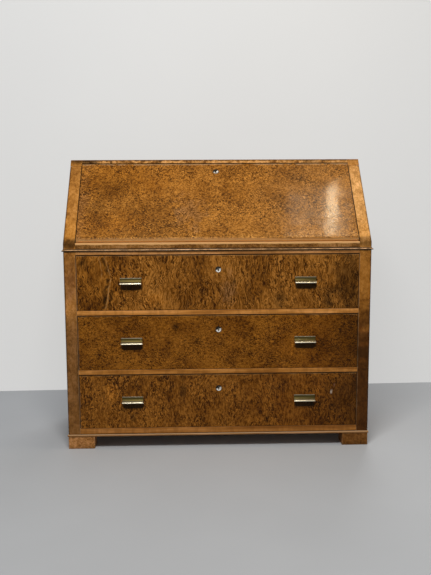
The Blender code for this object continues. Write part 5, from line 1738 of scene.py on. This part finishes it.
@dataclass(frozen=True)
class WritingCompartment:
    """What the fall hides: cheeks, pigeonholes, small drawers, stays and pivots."""

    wall: float = 0.008  # thickness of the rack's walls
    rack_floor: float = 0.003  # thickness of the rack's floor that shows its own grain
    knob_reach: float = 0.016
    bracket_across: float = 0.4885  # where the screws of a stay's bracket stand
    bracket_sheet: float = 0.0025
    bracket_half: float = 0.0095  # from the bracket's middle to a screw

    def build(self) -> None:
        """Dress the woods and fit the small hardware."""
        runs = ((Run.ACROSS, 51.0), (Run.UP, 52.0))
        rack, uprights = (Straight(BIRCH, run, seed, bands=30.0, ripple=0.08) for run, seed in runs)
        zones = (Zone(Side.TOP, rack, depth=self.wall), Zone(Side.UNDER, rack, depth=self.rack_floor))
        veneer("pigeonhole_rack", "rack_birch", uprights, zones=zones, wear=0.1, varnish=SATIN)
        cheek = Straight(BIRCH, Run.UP, 53.0, bands=22.0, ripple=0.12)
        for hand, side in HANDS:
            veneer(f"cheek_{hand}", f"cheek_{hand}_birch", cheek, wear=0.25, varnish=SATIN)
            self.small_drawer(hand)
            dress(Metal.BRASS.material(), f"stay_arm_{hand}", f"stay_stud_{hand}", f"fall_pivot_{hand}")
            self.bracket_screws(hand, side)

    def small_drawer(self, hand: str) -> None:
        """A small drawer with a burr front and its knob.

        Args:
            hand: Left or right.
        """
        node = f"small_drawer_{hand}"
        low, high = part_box(node)
        whole = Panel.of_node(node)
        half_knob = Vector((0, self.knob_reach / 2, 0))
        panel = Panel(whole.middle + half_knob, whole.half - half_knob, whole.turn)
        burr = Burr(SMALL_WOOD, 54.0 + (hand == "right"), stroke_scale=95.0, bend=0.01)
        walls = Straight(BIRCH, Run.DEEP, 56.0, bands=30.0)
        veneer(node, f"{node}_birch", walls, panel, zones=(Zone(Side.FRONT, burr),), wear=0.2, varnish=SATIN)
        middle = Vector(((low.x + high.x) / 2, low.y + self.knob_reach, (low.z + high.z) / 2))
        Knob(f"small_knob_{hand}", f"small_{hand}", middle, reach=self.knob_reach).build()

    def bracket_screws(self, hand: str, side: int) -> None:
        """Two screws in the foot of a stay's bracket.

        Args:
            hand: Left or right.
            side: Minus one at the left, one at the right.
        """
        foot = Panel.of_node(f"stay_bracket_{hand}", SLOPE_TURN)
        inner_face = foot.middle.y - foot.half.y + self.bracket_sheet
        screws = []
        for up in (-self.bracket_half, self.bracket_half):
            own = Vector((side * self.bracket_across, inner_face, foot.middle.z + up))
            screws.append(Screw(SLOPE_TURN.inverted() @ own, SLOPE_UP, -SLOPE_OUT, 2.4 * MM))
        drive(f"stay_bracket_screws_{hand}", screws, Metal.BRASS, "fall", "aged_brass")


# Stage


@dataclass(frozen=True)
class Lamp:
    """A soft rectangular lamp."""

    name: str
    place: Triple
    target: Triple  # what it points at
    size: tuple[float, float]
    power: float  # in watts
    colour: Colour = (1.0, 1.0, 1.0)

    def hang(self) -> None:
        """Hang the lamp."""
        data = bpy.data.lights.new(self.name, "AREA")
        data.shape = "RECTANGLE"
        data.size, data.size_y = self.size
        data.energy = self.power
        data.color = self.colour
        item = bpy.data.objects.new(self.name, data)
        item.location = self.place
        item.rotation_euler = (Vector(self.target) - Vector(self.place)).to_track_quat("-Z", "Y").to_euler()
        bpy.context.scene.collection.objects.link(item)


@dataclass(frozen=True)
class Studio:
    """The camera at the photograph's place, a plain floor and backdrop, and soft lamps."""

    eye: Triple = (-0.108, -3.162, 1.024)
    yaw: float = -1.90  # below zero to the right, in degrees
    pitch: float = -8.33  # below zero downwards
    roll: float = 0.23
    lens: float = 51.97
    sensor: float = 36.0
    reach: float = 9.0  # half the width of the floor
    floor_colour: Colour = (0.50, 0.515, 0.53)
    backdrop_depth: float = 0.62  # where the backdrop stands
    backdrop_turn: float = 1.7  # how far it is turned, in degrees
    backdrop_height: float = 6.0
    backdrop_colour: Colour = (0.80, 0.80, 0.79)
    backdrop_glow: float = 0.62  # how much of its colour it has of itself, which evens it out
    world_colour: Colour = (0.94, 0.96, 1.0)
    world_strength: float = 0.26
    lamps: tuple[Lamp, ...] = (
        Lamp("key", (-0.25, -1.75, 2.75), (0.0, -0.1, 0.5), (0.9, 0.6), 54.0, (1.0, 0.985, 0.96)),
        Lamp("tube", (0.690, -0.31, 2.4), (0.690, -0.31, 0.0), (0.050, 0.27), 2.8, (1.0, 0.78, 0.50)),
        Lamp("glow", (0.62, -0.37, 2.4), (0.62, -0.37, 0.0), (0.36, 0.34), 1.9, (1.0, 0.88, 0.70)),
        Lamp("rear", (0.9, 3.1, 2.5), (0.0, 0.2, 0.4), (1.8, 1.2), 40.0),
    )

    def build(self) -> None:
        """Set the whole stage."""
        self.place_camera()
        self.lay_floor()
        for item in self.lamps:
            item.hang()
        self.light_world()
        bpy.context.scene.view_settings.view_transform = "Standard"

    def place_camera(self) -> None:
        """Put the camera where the photograph was taken."""
        camera = bpy.data.objects.new("camera", bpy.data.cameras.new("camera"))
        bpy.context.scene.collection.objects.link(camera)
        yaw, pitch, roll = (math.radians(angle) for angle in (self.yaw, self.pitch, self.roll))
        turn = Matrix.Rotation(yaw, 3, "Z") @ Matrix.Rotation(pitch, 3, "X") @ Matrix.Rotation(roll, 3, "Y")
        right, forward, up = (turn.col[index] for index in range(3))
        camera.matrix_world = Matrix.Translation(self.eye) @ Matrix((right, up, -forward)).transposed().to_4x4()
        camera.data.lens = self.lens
        camera.data.sensor_width = self.sensor
        bpy.context.scene.camera = camera

    def lay_floor(self) -> None:
        """Lay the floor, and stand a backdrop that only the camera sees."""
        width = 2 * self.reach
        floor = sheet("floor", Vector((-self.reach, -self.reach, 0.0)), ACROSS * width, -OUTWARD * width)
        floor.data.materials.append(self.paint("floor_paint", self.floor_colour).material)
        turn = math.radians(self.backdrop_turn)
        along = Vector((math.cos(turn), math.sin(turn), 0.0)) * width
        corner = Vector((0.0, self.backdrop_depth, 0.0)) - along / 2
        backdrop = sheet("backdrop", corner, along, UPWARD * self.backdrop_height)
        backdrop.data.materials.append(self.backdrop_paint())
        for flag in ("visible_diffuse", "visible_glossy", "visible_transmission", "visible_shadow"):
            setattr(backdrop, flag, False)

    def paint(self, name: str, colour: Colour) -> Coat:
        """Plain paint with faint clouding.

        Args:
            name: Name of the finish.
            colour: Its colour.

        Returns:
            The material in the making.
        """
        coat = Coat(name)
        patch = coat.spread(coat.noise(coat.place, 1.7, 3.0), 0.3, 0.7)
        darker = tuple(part * 0.96 for part in colour)
        coat.show(Base_Color=coat.mix(patch, darker, colour), Roughness=0.6, Specular_IOR_Level=0.2)
        return coat

    def backdrop_paint(self) -> Material:
        """The backdrop's paint, which is clear when it is seen from behind.

        Returns:
            The material.
        """
        own = tuple(part * (1.0 - self.backdrop_glow) * 0.9 for part in self.backdrop_colour)
        coat = self.paint("backdrop_paint", own)
        coat.show(Emission_Color=(*self.backdrop_colour, 1.0), Emission_Strength=self.backdrop_glow)
        behind, clear = coat.put("NewGeometry", {}, "Backfacing"), coat.put("BsdfTransparent", {})
        choose(coat, behind, coat.shader.outputs[0], clear)
        return coat.material

    def light_world(self) -> None:
        """An even world, which the camera and the gloss see paler near the horizon."""
        world = bpy.data.worlds.new("studio")
        world.use_nodes = True
        bpy.context.scene.world = world
        board = Board(world.node_tree)
        fill = world.node_tree.nodes["Background"]
        fill.inputs["Color"].default_value = (*self.world_colour, 1.0)
        fill.inputs["Strength"].default_value = self.world_strength
        up = board.parts(board.put("TexCoord", {}, "Generated"))[2]
        shade = board.spread(up, 0.0, 0.85, 0.80, 0.12)
        shown = board.put("Background", {"Color": board.joined(shade, shade, shade)})
        paths = board.put("LightPath", {}).node.outputs
        seen = board.greater(paths["Is Camera Ray"], paths["Is Glossy Ray"])
        choose(board, board.greater(seen, paths["Is Transmission Ray"]), fill.outputs[0], shown)


def choose(board: Board, share: Value, first: Socket, second: Socket) -> None:
    """End a tree with a mix of two shaders.

    Args:
        board: The tree.
        share: Share of the second one.
        first: First shader.
        second: Second shader.
    """
    output = next(node for node in board.tree.nodes if node.type.startswith("OUTPUT"))
    board.feed(output.inputs["Surface"], board.put("MixShader", {0: share, 1: first, 2: second}))


def long_drawers() -> tuple[LongDrawer, ...]:
    """The three long drawers, with the marks on each front: its own tone, veins and a bruise, and painted shade
    and sheen.

    Returns:
        The drawers, from the top.
    """
    # Painted light: the darker right ends of the fronts are painted shade, and the pale bluish patch on the
    # upper front a painted sheen.
    upper_marks = (
        Vein(0.117, 0.60, 1.0, 7.0 * MM, -0.70, 0.012, -0.28),
        Vein(0.107, 0.0, 0.62, 8.0 * MM, -0.75, 0.012, 0.164),
        Vein(0.128, 0.02, 0.40, 9.0 * MM, -0.6, 0.012, 0.164),
        Cloud(0.05, 0.5, 0.10, 0.8, -0.10),
        Cloud(0.06, 0.5, 0.16, 1.2, 0.95, 0.3, (0.90, 0.84, 0.60)),
        Cloud(0.097, 0.24, 0.012, 0.24, -0.60),
        Vein(0.125, 0.60, 1.0, 3.4 * MM, 0.50, 0.020, -0.28, VEIN_PALE),
        Vein(0.1155, 0.0, 0.62, 3.4 * MM, 0.60, 0.020, 0.164, VEIN_PALE),
        Vein(0.092, 0.55, 1.0, 3.0 * MM, 0.35, 0.020, -0.12, VEIN_PALE),
        Cloud(0.023, 0.85, 0.03, 0.12, -0.6),
        Cloud(0.26, 0.20, 0.06, 0.16, 0.45),
        Cloud(0.556, 0.52, 0.012, 0.07, -0.6),
        Cloud(0.535, 0.36, 0.035, 0.40, 0.8, 0.5, (0.86, 1.00, 2.2)),
        Vein(0.684, 0.55, 0.85, 2.5 * MM, 0.7, 0.01),
        Vein(0.762, 0.52, 0.68, 4.0 * MM, -0.6, 0.02),
        Cloud(0.72, 0.18, 0.035, 0.2, -0.5),
        Cloud(0.89, 0.22, 0.03, 0.25, -0.5),
        Cloud(0.97, 0.45, 0.09, 1.2, -0.55),
    )
    middle_marks = (
        Cloud(0.345, 0.78, 0.02, 0.14, -0.5),
        Cloud(0.424, 0.53, 0.015, 0.1, -0.5),
        Vein(0.764, 0.15, 0.5, 3.0 * MM, 0.6, 0.01),
        Cloud(1.03, 0.5, 0.28, 1.2, -0.54, 0.2),
        Cloud(0.95, 0.5, 0.30, 1.2, 0.9, 0.3, (0.96, 0.86, 0.62)),
    )
    lower_marks = (
        Cloud(0.115, 0.65, 0.035, 0.25, 0.45),
        Cloud(0.37, 0.72, 0.018, 0.25, -0.55),
        Cloud(0.19, 0.19, 0.015, 0.1, -0.5),
        Vein(0.86, 0.58, 0.96, 3.5 * MM, 0.6, 0.01),
        Vein(0.906, 0.585, 0.70, 5.5 * MM, 1.0, 0.004, 0.10, BARED),
        Vein(0.914, 0.72, 0.82, 3.5 * MM, 0.70, 0.004, 0.10, BRUISE),
        Cloud(1.03, 0.5, 0.28, 1.2, -0.58, 0.2),
        Cloud(0.75, 0.5, 0.2, 0.9, -0.12),
        Cloud(0.88, 0.5, 0.36, 1.2, 0.9, 0.3, (0.94, 0.84, 0.66)),
    )
    burrs = (
        Burr(DRAWER_WOOD, 61.0, 8.0, 0.022, 150.0, 1.0, 1.0, 0.60, 0.46, 10.0),
        Burr(MIDDLE_WOOD, 71.0, 0.7, 0.014, 118.0, 1.0, 0.95, 0.60, 0.44, 11.0),
        Burr(LOWER_WOOD, 81.0, 2.6, 0.016, 125.0, 1.0, 0.95, 0.60, 0.44, 11.0),
    )
    names, tops = ("upper", "middle", "lower"), (0.712, 0.494, 0.276)
    rows = zip(names, tops, burrs, (upper_marks, middle_marks, lower_marks))
    return tuple(LongDrawer(name, top, burr, marks, burr.seed + 1.0) for name, top, burr, marks in rows)


def main() -> None:
    """Dress the chest piece by piece and set the stage."""
    logging.basicConfig(level=logging.INFO, format="%(message)s")
    for assembly in (Studio(), Carcass(), Fall(), *long_drawers(), WritingCompartment()):
        assembly.build()


if __name__ == "__main__":
    main()
